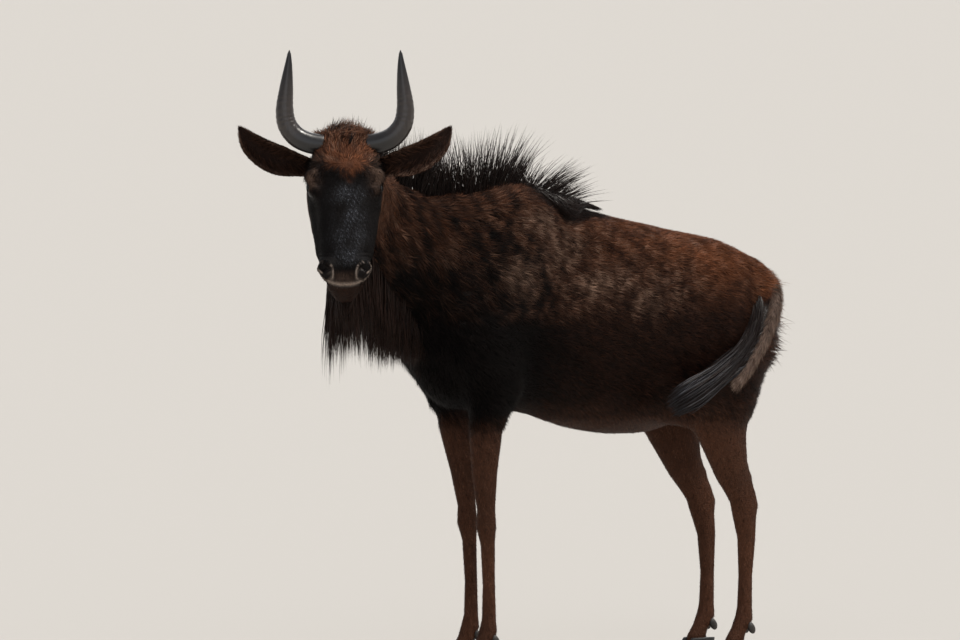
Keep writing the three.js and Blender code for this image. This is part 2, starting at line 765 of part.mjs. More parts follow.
function earSolid(side) {
  const spine = new THREE.CatmullRomCurve3([
    [74, -44, -86], [106, -46, -77], [141, -52, -66], [176, -58, -53], [212, -64, -31], [240, -70, 2],
  ].map(([left, forward, up]) => byPoll(side * left, forward, up)));
  const widths = [[0, 20], [0.2, 30], [0.42, 39], [0.62, 37], [0.82, 25], [1, 5]];
  const place = (u, v, face) => {
    const along = spine.getTangentAt(u);
    const across = new THREE.Vector3().crossVectors(along, HEAD_FORWARD).normalize();
    const [width] = readTable(widths, u);
    const from = 2 * v - 1;
    const cup = 0.42 * width * (from * from - 0.35);
    const thick = (EAR_THICKNESS / 2) * (1 - 0.5 * from * from);
    return spine.getPointAt(u).addScaledVector(across, from * width)
      .addScaledVector(HEAD_FORWARD, cup + face * thick);
  };
  return toSolid(slab(7, 4, place));
}

// Mane: a fan of stiff hair from between the horns to behind the withers. Rows of the
// hair's root, its length, its lean back from upright, and half the fan's thickness.

function maneSolid() {
  const forelock = byPoll(0, 0, -22);
  const nape = byPoll(0, -62, -34);
  const rows = [
    [forelock.x, forelock.y, forelock.z, 50, 12, 24],
    [nape.x, nape.y, nape.z, 70, 14, 22],
    [62, -650, 1134, 98, 12, 16],
    [28, -530, 1082, 112, 10, 16],
    [6, -400, 1070, 134, 12, 18],
    [8, -300, 1070, 186, 18, 22],
    [12, -200, 1074, 168, 31, 26],
    [12, -120, 1048, 132, 50, 26],
    [8, -50, 1032, 76, 68, 20],
    [2, 20, 1018, 40, 78, 12],
  ];
  const place = (u, v, face) => {
    const at = u * (rows.length - 1);
    const [x, y, z, length, lean, thick] = readTable(rows.map((row, n) => [n, ...row]), at);
    const angle = THREE.MathUtils.degToRad(lean);
    const half = thick * (1 - 0.72 * v);
    return new THREE.Vector3(x + face * half, y + Math.sin(angle) * length * v,
      z + Math.cos(angle) * length * v);
  };
  return toSolid(slab(18, 3, place));
}

// Beard: long hair under the jaw, down the throat to the breast. Rows of the hair's
// root, its length, and half the curtain's thickness at the root and at the tips.

function beardSolid() {
  const [chin, jaw, gullet] = [onHead(0, -86, 345), onHead(0, -104, 262), onHead(0, -122, 190)];
  const rows = [
    [chin.x, chin.y, chin.z, 62, 22, 14],
    [jaw.x, jaw.y, jaw.z, 200, 30, 40],
    [gullet.x, gullet.y, gullet.z, 300, 32, 48],
    [66, -650, 950, 236, 32, 34],
    [34, -550, 860, 138, 34, 28],
    [12, -480, 790, 92, 34, 24],
    [2, -456, 720, 56, 30, 18],
  ];
  const place = (u, v, face) => {
    const at = u * (rows.length - 1);
    const [x, y, z, length, root, tip] = readTable(rows.map((row, n) => [n, ...row]), at);
    const half = mix(root, tip, v);
    return new THREE.Vector3(x, y, z - length * v).addScaledVector(HEAD_LEFT, face * half * 0.8)
      .addScaledVector(X_AXIS, face * half * 0.2);
  };
  return toSolid(slab(12, 3, place));
}

// Tail: a thin stalk that swings round the left buttock, and its black hair, which
// hangs along the stalk's front and sweeps forward over the thigh

function tailSolids() {
  const toVectors = (rows) => rows.map((row) => new THREE.Vector3(...row));
  const stalkRoute = toVectors([
    [0, 480, 912], [14, 520, 892], [58, 500, 862], [104, 458, 832], [138, 424, 800],
    [156, 398, 768], [167, 374, 734], [173, 348, 700], [177, 320, 670], [179, 294, 644],
  ]);
  const stalkRing = (t) => [20 - 10 * Math.sqrt(t), 18 - 9 * Math.sqrt(t)];
  const stalk = toSolid(spindle(stalkRoute, stalkRing, 14, 7, Y_AXIS));
  const hairRoute = toVectors([
    [106, 420, 896], [143, 372, 846], [157, 350, 792], [170, 322, 740], [176, 298, 698],
    [181, 250, 660], [188, 164, 620], [192, 78, 588],
  ]);
  const rows = [
    [0, 6, 5], [0.12, 20, 10], [0.3, 28, 13], [0.5, 31, 14], [0.7, 37, 16], [0.88, 32, 14], [1, 6, 5],
  ];
  const ring = (t) => readTable(rows, t);
  const hair = toSolid(spindle(hairRoute, ring, 16, 8, new THREE.Vector3(0, -0.7, -0.7)));
  return { stalk, hair };
}

// Lets a part into the flesh: each named piece of flesh gets a slot that fits its root
function letInto(name, ...fleshNames) {
  for (const flesh of fleshNames) pieces.set(flesh, clearOf(pieces.get(flesh), pieces.get(name)));
}

const trimmedBy = (solid, ...names) => names.reduce((rest, name) => clearOf(rest, pieces.get(name)), solid);

for (const [sideName, side] of [["left", 1], ["right", -1]]) {
  pieces.set(`horn_${sideName}`, hornSolid(side));
  pieces.set(`ear_${sideName}`, trimmedBy(earSolid(side), `horn_${sideName}`));
}
pieces.set("mane", trimmedBy(maneSolid(), "horn_left", "horn_right", "ear_left", "ear_right"));
pieces.set("beard", beardSolid());
const { stalk, hair } = tailSolids();
pieces.set("tail", stalk);
pieces.set("tail_hair", trimmedBy(hair, "tail"));
for (const [name, eye] of eyes) pieces.set(name, eye);

for (const sideName of ["left", "right"]) {
  letInto(`horn_${sideName}`, "head");
  letInto(`ear_${sideName}`, "head", "neck");
}
letInto("mane", "head", "neck", "trunk");
letInto("beard", "head", "neck", "trunk");
letInto("tail", "trunk", "leg_hind_left");
letInto("tail_hair", "trunk", "leg_hind_left");

// Hooves: two claws on each foot with a flat sole, and two dew claws behind the fetlock

const CLAW_LENGTH = 84;
const CLAW_HALF_WIDTH = 15;
const CLEFT_HALF = 1.2;
const SOLE_SIDES = 12;

function clawSolid(side, heelY, centreX) {
  const levels = [[0, 1, 0], [4, 1.03, 0], [20, 0.9, 9], [CORONET_Z - GAP / 2, 0.76, 17]];
  const vertices = [];
  const quads = [];
  levels.forEach(([z, scale, back], i) => {
    for (let j = 0; j < SOLE_SIDES; j += 1) {
      const angle = (j / SOLE_SIDES) * 2 * Math.PI;
      const [across, along] = [Math.sin(angle), Math.cos(angle)];
      const narrow = 1 - 0.3 * clamp01(-along);
      const x = CLEFT_HALF + CLAW_HALF_WIDTH * (1 + across * narrow * scale);
      const y = heelY - CLAW_LENGTH / 2 + (CLAW_LENGTH / 2) * along * scale + back;
      vertices.push(new THREE.Vector3(centreX + side * Math.max(x, CLEFT_HALF), y, z));
      const k = (j + 1) % SOLE_SIDES;
      const base = i * SOLE_SIDES;
      if (i > 0) quads.push([base + j, base + k, base + k - SOLE_SIDES, base + j - SOLE_SIDES]);
    }
  });
  const geometry = fromQuads(vertices, quads);
  const triangles = [...geometry.index.array];
  const top = (levels.length - 1) * SOLE_SIDES;
  for (let j = 1; j < SOLE_SIDES - 1; j += 1) {
    triangles.push(0, j, j + 1);
    triangles.push(top, top + j + 1, top + j);
  }
  geometry.setIndex(triangles);
  return toSolid(outward(geometry));
}

function dewClawSolid(side, x, y, z) {
  const claw = new THREE.SphereGeometry(1, 5, 4);
  claw.scale(8, 9, 15).rotateX(0.5).translate(x + side * 13, y, z);
  return toSolid(claw);
}

for (const [sideName, side] of [["left", 1], ["right", -1]]) {
  const lag = side < 0 ? RIGHT_FORELEG_LAG : 0;
  for (const [row, footY] of [["front", FORE_FOOT_Y + lag], ["hind", HIND_FOOT_Y - 2]]) {
    const name = `leg_${row}_${sideName}`;
    for (const [clawName, clawSide] of [["outer", side], ["inner", -side]]) {
      const footX = side * FOOT_HALF_SPREAD;
      pieces.set(`hoof_${row}_${sideName}_${clawName}`, clawSolid(clawSide, footY + 4, footX));
      const dew = dewClawSolid(clawSide, footX, footY + 10, 68);
      pieces.set(`dewclaw_${row}_${sideName}_${clawName}`, dew);
      pieces.set(name, largestPiece(pieces.get(name).subtract(swollen(dew, GAP))));
    }
  }
}

// Materials

const COAT_BROWN = 0x3a2418;
const COAT_BLACK = 0x14110f;
const HORN_GREY = 0x3b3a38;
const HOOF_BLACK = 0x1b1816;
const EYE_DARK = 0x0b0706;

const finish = (color, roughness) => new THREE.MeshStandardMaterial({ color, roughness, metalness: 0 });
const finishFor = (name) => {
  if (name.startsWith("horn")) return finish(HORN_GREY, 0.4);
  if (name.startsWith("hoof") || name.startsWith("dewclaw")) return finish(HOOF_BLACK, 0.5);
  if (name.startsWith("eye")) return finish(EYE_DARK, 0.1);
  if (["mane", "beard", "tail_hair"].includes(name)) return finish(COAT_BLACK, 0.8);
  return finish(COAT_BROWN, 0.9);
};

// The finished animal stands with the middle of its box over the origin

const wildebeest = new THREE.Group();
for (const [name, solid] of pieces) {
  const mesh = new THREE.Mesh(toGeometry(solid), finishFor(name));
  mesh.name = name;
  wildebeest.add(mesh);
}
const outline = new THREE.Box3().setFromObject(wildebeest);
const middle = outline.getCenter(new THREE.Vector3());
wildebeest.position.set(-middle.x, -middle.y, 0);

export default wildebeest;
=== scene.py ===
import math

import bmesh
import bpy
import numpy as np
from mathutils import Matrix, Vector
from mathutils.kdtree import KDTree


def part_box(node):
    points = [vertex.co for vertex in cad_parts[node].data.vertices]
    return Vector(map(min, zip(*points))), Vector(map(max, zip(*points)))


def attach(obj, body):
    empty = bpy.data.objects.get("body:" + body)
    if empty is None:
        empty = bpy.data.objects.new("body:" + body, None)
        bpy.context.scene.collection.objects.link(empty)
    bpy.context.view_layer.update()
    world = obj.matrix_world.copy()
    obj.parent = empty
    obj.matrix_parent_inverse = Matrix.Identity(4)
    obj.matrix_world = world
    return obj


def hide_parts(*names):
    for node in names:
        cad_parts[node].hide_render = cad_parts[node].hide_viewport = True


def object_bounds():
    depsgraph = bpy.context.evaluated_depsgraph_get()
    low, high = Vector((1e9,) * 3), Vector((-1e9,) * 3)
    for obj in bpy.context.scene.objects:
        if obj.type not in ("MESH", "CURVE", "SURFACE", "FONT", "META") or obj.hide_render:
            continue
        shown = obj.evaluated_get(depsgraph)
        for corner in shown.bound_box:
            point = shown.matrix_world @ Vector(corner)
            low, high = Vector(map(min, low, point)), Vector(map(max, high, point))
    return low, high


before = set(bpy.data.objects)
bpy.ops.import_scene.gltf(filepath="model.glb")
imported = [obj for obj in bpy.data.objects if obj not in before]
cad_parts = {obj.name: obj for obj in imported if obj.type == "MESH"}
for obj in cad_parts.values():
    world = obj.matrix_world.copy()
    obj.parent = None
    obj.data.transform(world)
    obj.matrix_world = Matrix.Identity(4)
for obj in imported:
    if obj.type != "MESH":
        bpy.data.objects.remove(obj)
cad_low, cad_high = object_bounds()

# View: a long lens at the height of the animal's back, looking at its left front
# quarter, as the photo was taken. The feet stand below the lower edge of the frame.
VIEW_AZIMUTH = math.radians(55.0)
VIEW_ELEVATION = math.radians(3.5)
VIEW_DISTANCE = 60.0
PICTURE_WIDTH = 960
PIXELS_PER_METRE = 434.0
VIEW_TARGET = Vector((-0.1037, -0.0630, 0.7985))

toward_camera = Vector((
    math.sin(VIEW_AZIMUTH) * math.cos(VIEW_ELEVATION),
    -math.cos(VIEW_AZIMUTH) * math.cos(VIEW_ELEVATION),
    math.sin(VIEW_ELEVATION),
))


def standing_at(place, toward):
    """The matrix of a camera or lamp at a place, turned so that its back is toward a vector."""
    return Matrix.Translation(place) @ toward.to_track_quat("Z", "Y").to_matrix().to_4x4()


lens = bpy.data.cameras.new("view")
lens.sensor_width = 36.0
lens.lens = lens.sensor_width * VIEW_DISTANCE * PIXELS_PER_METRE / PICTURE_WIDTH
lens.clip_end = 400.0
camera = bpy.data.objects.new("view", lens)
camera.matrix_world = standing_at(VIEW_TARGET + toward_camera * VIEW_DISTANCE, toward_camera)
bpy.context.scene.collection.objects.link(camera)
bpy.context.scene.camera = camera
bpy.context.scene.view_settings.view_transform = "Standard"

# Studio: a plain pale floor far wider than the frame, a high soft key light from the
# right and behind, as the sun stood, a weak fill and back light, and a pale sky that meets
# the floor evenly.
FLOOR_HALF_SIZE = 260.0
FLOOR_COLOUR = (0.50, 0.48, 0.45, 1.0)
HORIZON_COLOUR = (0.64, 0.63, 0.60, 1.0)
SKY_COLOUR = (0.34, 0.36, 0.40, 1.0)
LAMPS = [
    ("key", (1.3, 1.7, 4.0), 12.0, 3.4, (1.0, 0.95, 0.88)),
    ("fill", (4.6, -3.6, 2.4), 50.0, 0.35, (0.95, 0.97, 1.0)),
    ("back", (-4.0, 2.4, 3.2), 40.0, 0.45, (1.0, 0.97, 0.93)),
]

floor_mesh = bpy.data.meshes.new("floor")
floor_mesh.from_pydata([(x * FLOOR_HALF_SIZE, y * FLOOR_HALF_SIZE, 0.0)
                        for x, y in ((-1, -1), (1, -1), (1, 1), (-1, 1))], [], [(0, 1, 2, 3)])
floor_paint = bpy.data.materials.new("floor")
floor_paint.use_nodes = True
floor_shader = floor_paint.node_tree.nodes["Principled BSDF"]
floor_shader.inputs["Base Color"].default_value = FLOOR_COLOUR
floor_shader.inputs["Roughness"].default_value = 0.9
floor_mesh.materials.append(floor_paint)
floor = bpy.data.objects.new("floor", floor_mesh)
bpy.context.scene.collection.objects.link(floor)
for lamp_name, place, softness, strength, colour in LAMPS:
    lamp = bpy.data.lights.new(lamp_name, "SUN")
    lamp.angle = math.radians(softness)
    lamp.energy = strength
    lamp.color = colour
    lamp_object = bpy.data.objects.new(lamp_name, lamp)
    lamp_object.matrix_world = standing_at(place, Vector(place))
    bpy.context.scene.collection.objects.link(lamp_object)
sky = bpy.data.worlds.new("sky")
sky.use_nodes = True
sky_nodes, sky_links = sky.node_tree.nodes, sky.node_tree.links
sky_place = sky_nodes.new("ShaderNodeTexCoord")
sky_height = sky_nodes.new("ShaderNodeSeparateXYZ")
sky_share = sky_nodes.new("ShaderNodeMapRange")
sky_share.inputs["From Max"].default_value = 0.35
sky_mix = sky_nodes.new("ShaderNodeMix")
sky_mix.data_type = "RGBA"
sky_mix.inputs[6].default_value = HORIZON_COLOUR
sky_mix.inputs[7].default_value = SKY_COLOUR
sky_links.new(sky_place.outputs["Generated"], sky_height.inputs["Vector"])
sky_links.new(sky_height.outputs["Z"], sky_share.inputs["Value"])
sky_links.new(sky_share.outputs["Result"], sky_mix.inputs[0])
sky_links.new(sky_mix.outputs[2], sky_nodes["Background"].inputs["Color"])
bpy.context.scene.world = sky

# Flesh: the body under the coat, worked out in millimetres in the animal's own frame,
# facing -Y with its left side at +X. It is one solid of egg-shaped sections and round
# chains, melted together where they meet, and the head is turned to its left.
MM = 0.001
FAR = 1e4
POLL = np.array([143.0, -781.0, 1258.0])
HEAD_TURN = math.radians(55)
FACE_PITCH = math.radians(25)
EYE_RADIUS = 17.5
EYE_PLACE = (68, -36, 126)
UP = np.array([0.0, 0.0, 1.0])
SIDEWAYS = np.array([1.0, 0.0, 0.0])
SIDES = ((1, "left"), (-1, "right"))
head_forward = np.array([math.sin(HEAD_TURN), -math.cos(HEAD_TURN), 0.0])
head_left = np.array([math.cos(HEAD_TURN), math.sin(HEAD_TURN), 0.0])
face_down = math.sin(FACE_PITCH) * head_forward - math.cos(FACE_PITCH) * UP
face_out = math.cos(FACE_PITCH) * head_forward + math.sin(FACE_PITCH) * UP
head_axes = np.array([head_left, face_out, face_down])
body_axes = np.array([SIDEWAYS, UP, [0.0, 1.0, 0.0]])


def on_head(left, out, down):
    """The point that lies left, out of the face and down the face from the poll."""
    return POLL + np.array([left, out, down], float) @ head_axes


def by_poll(left, forward, up):
    """The point that lies left, forward and upright from the poll, in the turned head's frame."""
    return POLL + left * head_left + forward * head_forward + up * UP


def poll_route(rows, side):
    """The points of a route by the poll, given for the left side, on either side."""
    return [by_poll(side * left, forward, up) for left, forward, up in rows]


def eye_centre(side):
    """The middle of the eye on one side."""
    return on_head(side * EYE_PLACE[0], *EYE_PLACE[1:])


def head_place(points):
    """Each point's place left, out of the face and down the face from the poll."""
    return (points - POLL) @ head_axes.T


def step(low, high, value):
    """A smooth step from 0 at low to 1 at high: 3t^2 - 2t^3 of the clamped share t."""
    t = np.clip((value - low) / (high - low), 0.0, 1.0)
    return t * t * (3 - 2 * t)


def turns(count):
    """That many angles evenly round a circle, from 0."""
    return np.linspace(0, 2 * math.pi, count, endpoint=False)


def unit(vectors):
    """The vectors at length 1."""
    return vectors / np.maximum(np.linalg.norm(vectors, axis=-1, keepdims=True), 1e-9)


def read_table(rows, place):
    """Values between the rows of a table, by cubic Hermite curves whose slope at each row
    is that of the line through its two neighbours."""
    table = np.array(rows, float)
    at, values = table[:, 0], table[:, 1:]
    before = np.maximum(np.arange(len(at)) - 1, 0)
    after = np.minimum(np.arange(len(at)) + 1, len(at) - 1)
    slopes = (values[after] - values[before]) / (at[after] - at[before])[:, None]
    i = np.clip(np.searchsorted(at, place, side="right") - 1, 0, len(at) - 2)
    span = (at[i + 1] - at[i])[..., None]
    t = np.clip((place - at[i])[..., None] / span, 0.0, 1.0)
    return ((2 * t**3 - 3 * t**2 + 1) * values[i] + (t**3 - 2 * t**2 + t) * slopes[i] * span
            + (3 * t**2 - 2 * t**3) * values[i + 1] + (t**3 - t**2) * slopes[i + 1] * span)


def melt(a, b, width):
    """The lower of two distances, less a quarter of the band where both are alike."""
    overlap = np.maximum(width - np.abs(a - b), 0) / width
    return np.minimum(a, b) - overlap**2 * width / 4


def from_scaled(reach, scaled, least):
    """A distance from a scaled radius: reach (1 - 1 / scaled), which is 0 where scaled is 1."""
    safe = np.maximum(scaled, 1e-6)
    return np.where(scaled < 1e-6, -least, reach * (1 - 1 / safe))


def chain(rows, side_axis=SIDEWAYS):
    """Round-ended lengths with elliptic sections. Rows are x, y, z, half width along the side
    axis and half depth across it. Returns the distance function and its box."""
    table = np.array(rows, float)
    reach = table[:, 3:].max(1)[:, None]

    def distance(points):
        nearest = np.full(len(points), FAR)
        for a, b in zip(table[:-1], table[1:]):
            length = np.linalg.norm(b[:3] - a[:3])
            axis = (b[:3] - a[:3]) / length
            side = unit(side_axis - axis * (side_axis @ axis))
            fore = np.cross(axis, side)
            offset = points - a[:3]
            along = offset @ axis
            t = np.clip(along / length, 0.0, 1.0)
            past = along - t * length
            width = a[3] + (b[3] - a[3]) * t
            depth = a[4] + (b[4] - a[4]) * t
            least = np.minimum(width, depth)
            u, v = offset @ side, offset @ fore
            scaled = np.sqrt((u / width) ** 2 + (v / depth) ** 2 + (past / least) ** 2)
            nearest = np.minimum(nearest, from_scaled(np.sqrt(u**2 + v**2 + past**2), scaled, least))
        return nearest

    return distance, (table[:, :3] - reach).min(0), (table[:, :3] + reach).max(0)


def side_chain(side, rows):
    """A chain on one side of the body, from rows for its left side."""
    return chain([(side * x, *row) for x, *row in rows])


def head_chain(side, rows):
    """A chain on one side of the head. Rows are left, out, down, half width and half depth."""
    return chain([(*on_head(side * left, out, down), width, depth)
                  for left, out, down, width, depth in rows], head_left)


def sections(rows, front_cap, rear_cap, axes, origin):
    """Egg-shaped sections along an axis. Rows are station, level of the widest line, height
    above it, depth below it, half width and squareness. Axes are side, up and along."""
    table = np.array(rows, float)

    def distance(points):
        side, height, along = ((points - origin) @ axes.T).T
        level, above, below, width, power = read_table(table, along).T
        height = height - level
        half = np.where(height > 0, above, below)
        section = (np.abs(side / width) ** power + np.abs(height / half) ** power) ** (1 / power)
        before = np.maximum(table[0, 0] - along, 0)
        behind = np.maximum(along - table[-1, 0], 0)
        scaled = np.sqrt(section**2 + (before / front_cap) ** 2 + (behind / rear_cap) ** 2)
        reach = np.sqrt(side**2 + height**2 + (before + behind) ** 2)
        return from_scaled(reach, scaled, np.minimum(width, half))

    spans = [[-table[:, 4].max(), table[:, 4].max()],
             [(table[:, 1] - table[:, 3]).min(), (table[:, 1] + table[:, 2]).max()],
             [table[0, 0] - front_cap, table[-1, 0] + rear_cap]]
    corners = np.array([[a, b, c] for a in spans[0] for b in spans[1] for c in spans[2]]) @ axes + origin
    return distance, corners.min(0), corners.max(0)


def egg(centre, halves, axes=head_axes):
    """An ellipsoid with three half sizes along a frame's axes."""
    halves = np.array(halves, float)

    def distance(points):
        local = (points - centre) @ axes.T
        scaled = np.linalg.norm(local / halves, axis=1)
        return from_scaled(np.linalg.norm(local, axis=1), scaled, halves.min())

    return distance, centre - halves.max(), centre + halves.max()


MARGIN = 60
flesh = []


def grow(shape, blend, sign=1):
    """Adds a shape to the flesh, or with sign -1 takes it away, over a band of blending."""
    distance, low, high = shape
    flesh.append((distance, blend, sign, low - blend - MARGIN, high + blend + MARGIN))


def flesh_distance(points):
    """The distance to the outer face of the coat, negative inside it: each shape in turn is
    melted into what is there, or cut out of it."""
    total = np.full(len(points), FAR)
    for distance, blend, sign, low, high in flesh:
        near = np.flatnonzero(np.all((points > low) & (points < high), axis=1))
        other = distance(points[near])
        total[near] = sign * melt(sign * total[near], other, blend)
    return total


TRUNK_ROWS = [  # y, height of the back, of the belly and of the widest line, half width, squareness
    (-370, 1060, 600, 790, 104, 2.0),
    (-280, 1090, 592, 790, 118, 1.9),
    (-190, 1105, 582, 780, 132, 1.8),
    (-60, 1066, 543, 760, 154, 1.9),
    (70, 1030, 524, 755, 166, 2.0),
    (190, 1004, 534, 770, 162, 2.1),
    (310, 974, 600, 800, 138, 2.1),
    (400, 930, 690, 818, 100, 2.1),
]
NECK_ROWS = [
    (0, -250, 925, 104, 172), (4, -400, 925, 90, 172), (28, -530, 965, 78, 142),
    (62, -650, 1040, 66, 118), (96, -728, 1115, 60, 100), (108, -748, 1160, 56, 84),
]
HEAD_ROWS = [  # down the face, level, height, jaw depth, half width, squareness
    (6, -52, 46, 64, 74, 2.3), (50, -56, 60, 84, 82, 2.4), (100, -58, 60, 104, 85, 2.5),
    (145, -58, 57, 104, 82, 2.5), (200, -62, 60, 84, 70, 2.6), (265, -58, 54, 62, 62, 2.7),
    (322, -56, 48, 50, 59, 2.8), (352, -58, 42, 46, 57, 2.6),
]
FOOT_SPREAD = 76
FORE_FOOT_Y = -332
HIND_FOOT_Y = 393
RIGHT_FORELEG_LAG = 56

grow(sections([(y, level, top - level, level - low, width, power)
               for y, top, low, level, width, power in TRUNK_ROWS], 130, 114, body_axes, np.zeros(3)), 1)
TRUNK_CHAINS = [  # blend, rows: hip, shoulder, upper foreleg, thigh, fold before the stifle
    (70, [(78, 190, 934, 26, 28), (60, 284, 920, 22, 26)]),
    (70, [(52, -205, 1040, 34, 62), (78, -300, 880, 46, 92), (92, -372, 745, 48, 84)]),
    (70, [(92, -372, 735, 46, 66), (94, -328, 640, 42, 62)]),
    (80, [(72, 330, 880, 58, 112), (98, 322, 740, 62, 122), (108, 282, 620, 54, 98)]),
    (60, [(96, 90, 620, 40, 40), (112, 200, 590, 30, 44)]),
]
for side in (-1, 1):
    for blend, rows in TRUNK_CHAINS:
        grow(side_chain(side, rows), blend)
grow(chain(NECK_ROWS), 90)
for side in (-1, 1):
    lag = RIGHT_FORELEG_LAG if side < 0 else 0
    foot, front, rear = FOOT_SPREAD, FORE_FOOT_Y + lag, HIND_FOOT_Y
    leg_chains = [  # blend, rows: foreleg, hind leg, hock tendon, gaskin
        (34, [(94, -330 + lag * 0.3, 650, 38, 56), (90, -350 + lag * 0.7, 560, 33, 45),
              (84, -350 + lag, 460, 26, 35), (79, -342 + lag, 372, 20, 25), (78, -341 + lag, 332, 23, 27),
              (77, -336 + lag, 292, 18, 20), (foot, front, 195, 15, 18), (foot, front, 118, 17, 20),
              (foot, front - 2, 92, 21, 24), (foot, front - 16, 62, 19, 21), (foot, front - 28, 34, 21, 26)]),
        (34, [(110, 250, 640, 48, 92), (104, 292, 520, 34, 49), (95, 332, 435, 25, 36),
              (88, 372, 372, 22, 33), (84, 385, 330, 24, 33), (80, rear, 280, 19, 26),
              (foot, rear, 190, 16, 20), (foot, rear - 2, 118, 18, 21), (foot, rear - 4, 92, 21, 24),
              (foot, rear - 20, 62, 19, 21), (foot, rear - 32, 34, 21, 26)]),
        (22, [(90, 384, 415, 12, 14), (85, 403, 354, 14, 16)]),
        (60, [(88, 352, 690, 48, 60), (92, 338, 600, 44, 52), (92, 336, 520, 31, 40),
              (91, 350, 450, 18, 24)]),
    ]
    for blend, rows in leg_chains:
        grow(side_chain(side, rows), blend)
grow(chain([(0, 404, 878, 34, 28), (2, 454, 878, 22, 19), (12, 474, 874, 14, 14)]), 40)
skull = sections(HEAD_ROWS, 34, 36, head_axes, POLL)
grow(skull, 30)
for side in (-1, 1):
    grow(head_chain(side, [(52, -98, 130, 26, 46), (46, -92, 200, 26, 34)]), 34)
    grow(head_chain(side, [(72, -24, 104, 16, 14), (71, -20, 136, 16, 14)]), 16)
    grow(egg(on_head(side * 38, -24, 330), (22, 22, 26)), 16)
grow(egg(on_head(0, -88, 358), (32, 24, 28)), 20)
grow(egg(on_head(0, -30, 6), (40, 26, 34)), 26)

# Coat depth and regions: how far the skin lies below the tips of the coat. The coat is
# deepest on the neck, the breast and the back, and close on the face and the legs.
TRUNK_COAT = 6.5
NECK_COAT = 8.0
FACE_COAT = 2.2
LEG_COAT = 3.0


def face_share(points):
    """1 on the face and jaws and 0 on the neck, with the poll and the throat between."""
    left, out, down = head_place(points).T
    inside = step(135, 105, np.abs(left)) * step(-205, -150, out) * step(80, 50, out)
    return inside * step(-20, 60, down) * step(460, 430, down)


def leg_share(points):
    """1 below the elbow and the stifle, 0 on the trunk."""
    return step(640, 500, points[:, 2]) * step(-520, -450, points[:, 1])


def neck_share(points):
    """1 on the neck and breast, 0 behind the shoulders."""
    return step(-210, -420, points[:, 1]) * (1 - leg_share(points))


def coat_depth(points):
    """The depth of the coat: the trunk's, drawn towards the neck's, the legs' and the face's."""
    neck, leg, face = neck_share(points), leg_share(points), face_share(points)
    depth = TRUNK_COAT + (NECK_COAT - TRUNK_COAT) * neck
    depth = depth + (LEG_COAT - depth) * leg
    return depth + (FACE_COAT - depth) * face


def waves(points, length, seed, count=7):
    """Smooth unevenness from -1 to 1: the mean of a few sine waves of about one length."""
    draw = np.random.default_rng(seed)
    fronts = unit(draw.normal(size=(count, 3))) * 2 * math.pi / length
    fronts *= draw.uniform(0.6, 1.5, (count, 1))
    return np.sin(points @ fronts.T + draw.uniform(0, 2 * math.pi, count)).sum(1) * 1.6 / count


def crease(offset, half_width):
    """A bell curve across a fold: 1 on its line, gone two half widths away."""
    return np.exp(-(offset / half_width) ** 2)


MOUTH_SLOPE = 0.6
MOUTH_FRONT = (-30, 362)
MOUTH_RISE = 0.0028


def above_mouth(points):
    """The height above the mouth's cut: a plane that slants back from the front of the muzzle,
    less MOUTH_RISE left^2, so that the line climbs towards the corners."""
    left, out, down = head_place(points).T
    plane = (out - MOUTH_FRONT[0] + MOUTH_SLOPE * (MOUTH_FRONT[1] - down)) / math.hypot(1, MOUTH_SLOPE)
    return plane - MOUTH_RISE * left**2 * step(280, 330, down)


def eye_gap(points):
    """The distance to the nearer eye's centre."""
    left, out, down = head_place(points).T
    return np.linalg.norm(np.stack([np.abs(left), out, down], 1) - EYE_PLACE, axis=1)


def folds(points):
    """The depth of the skin's folds: the mouth's line with the lower lip set back, creases
    round the eyes and behind the nostrils, and the grooves beside the tendons."""
    left, out, down = head_place(points).T
    mouth = above_mouth(points)
    jaw = step(286, 304, down) * step(440, 420, down) * step(-125, -100, out) * (np.abs(left) < 90)
    depth = jaw * (4.0 * crease(mouth, 2.2) + 2.0 * step(0, -5, mouth))
    depth = depth + 15.0 * jaw * step(0, -16, mouth) * step(290, 335, down) * step(14, 48, np.abs(left))
    from_eye = eye_gap(points)
    beside = step(40, 60, np.abs(left))
    for ring, low in ((26.0, 1.3), (31.0, 0.9), (37.0, 0.7)):
        lid_side = step(-8, 8, (out + 36) - 0.4 * (down - 126)) if ring < 30 else step(8, -8, out + 30)
        depth = depth + beside * low * crease(from_eye - ring, 1.7) * lid_side
    for back, low in ((303.0, 0.9), (293.0, 0.6)):
        curve = down + 0.012 * (np.abs(left) - 30) ** 2
        depth = depth + low * crease(curve - back, 2.6) * step(-60, -30, out) * step(20, 38, np.abs(left))
    depth = depth + 1.6 * crease(left, 2.2) * step(330, 345, down) * step(-8, 0, mouth) * step(385, 372, down)
    y, z = points[:, 1], points[:, 2]
    for row, low, high, behind in ((FORE_FOOT_Y, 120, 285, 7), (HIND_FOOT_Y, 120, 350, 8)):
        lag = np.where((points[:, 0] < 0) & (row < 0), RIGHT_FORELEG_LAG, 0)
        shank = step(low, low + 40, z) * step(high, high - 50, z) * (np.abs(y - row - lag) < 60)
        depth = depth + 2.0 * shank * crease(y - row - lag - behind, 3.0)
    return depth


def skin_distance(points):
    """The distance to the skin: that of the coat's outer face, moved in by the coat's depth
    and the folds, and made a little uneven by the muscles."""
    muscle = 1.6 * waves(points, 170, 5) * step(500, 640, points[:, 2]) * (1 - face_share(points))
    return flesh_distance(points) + coat_depth(points) + folds(points) + muscle


def steepest(points, distance, probe=0.4):
    """The distance at each point and its gradient, by three small steps."""
    here = distance(points)
    slope = np.stack([(distance(points + probe * axis) - here) / probe for axis in np.eye(3)], 1)
    return here, slope


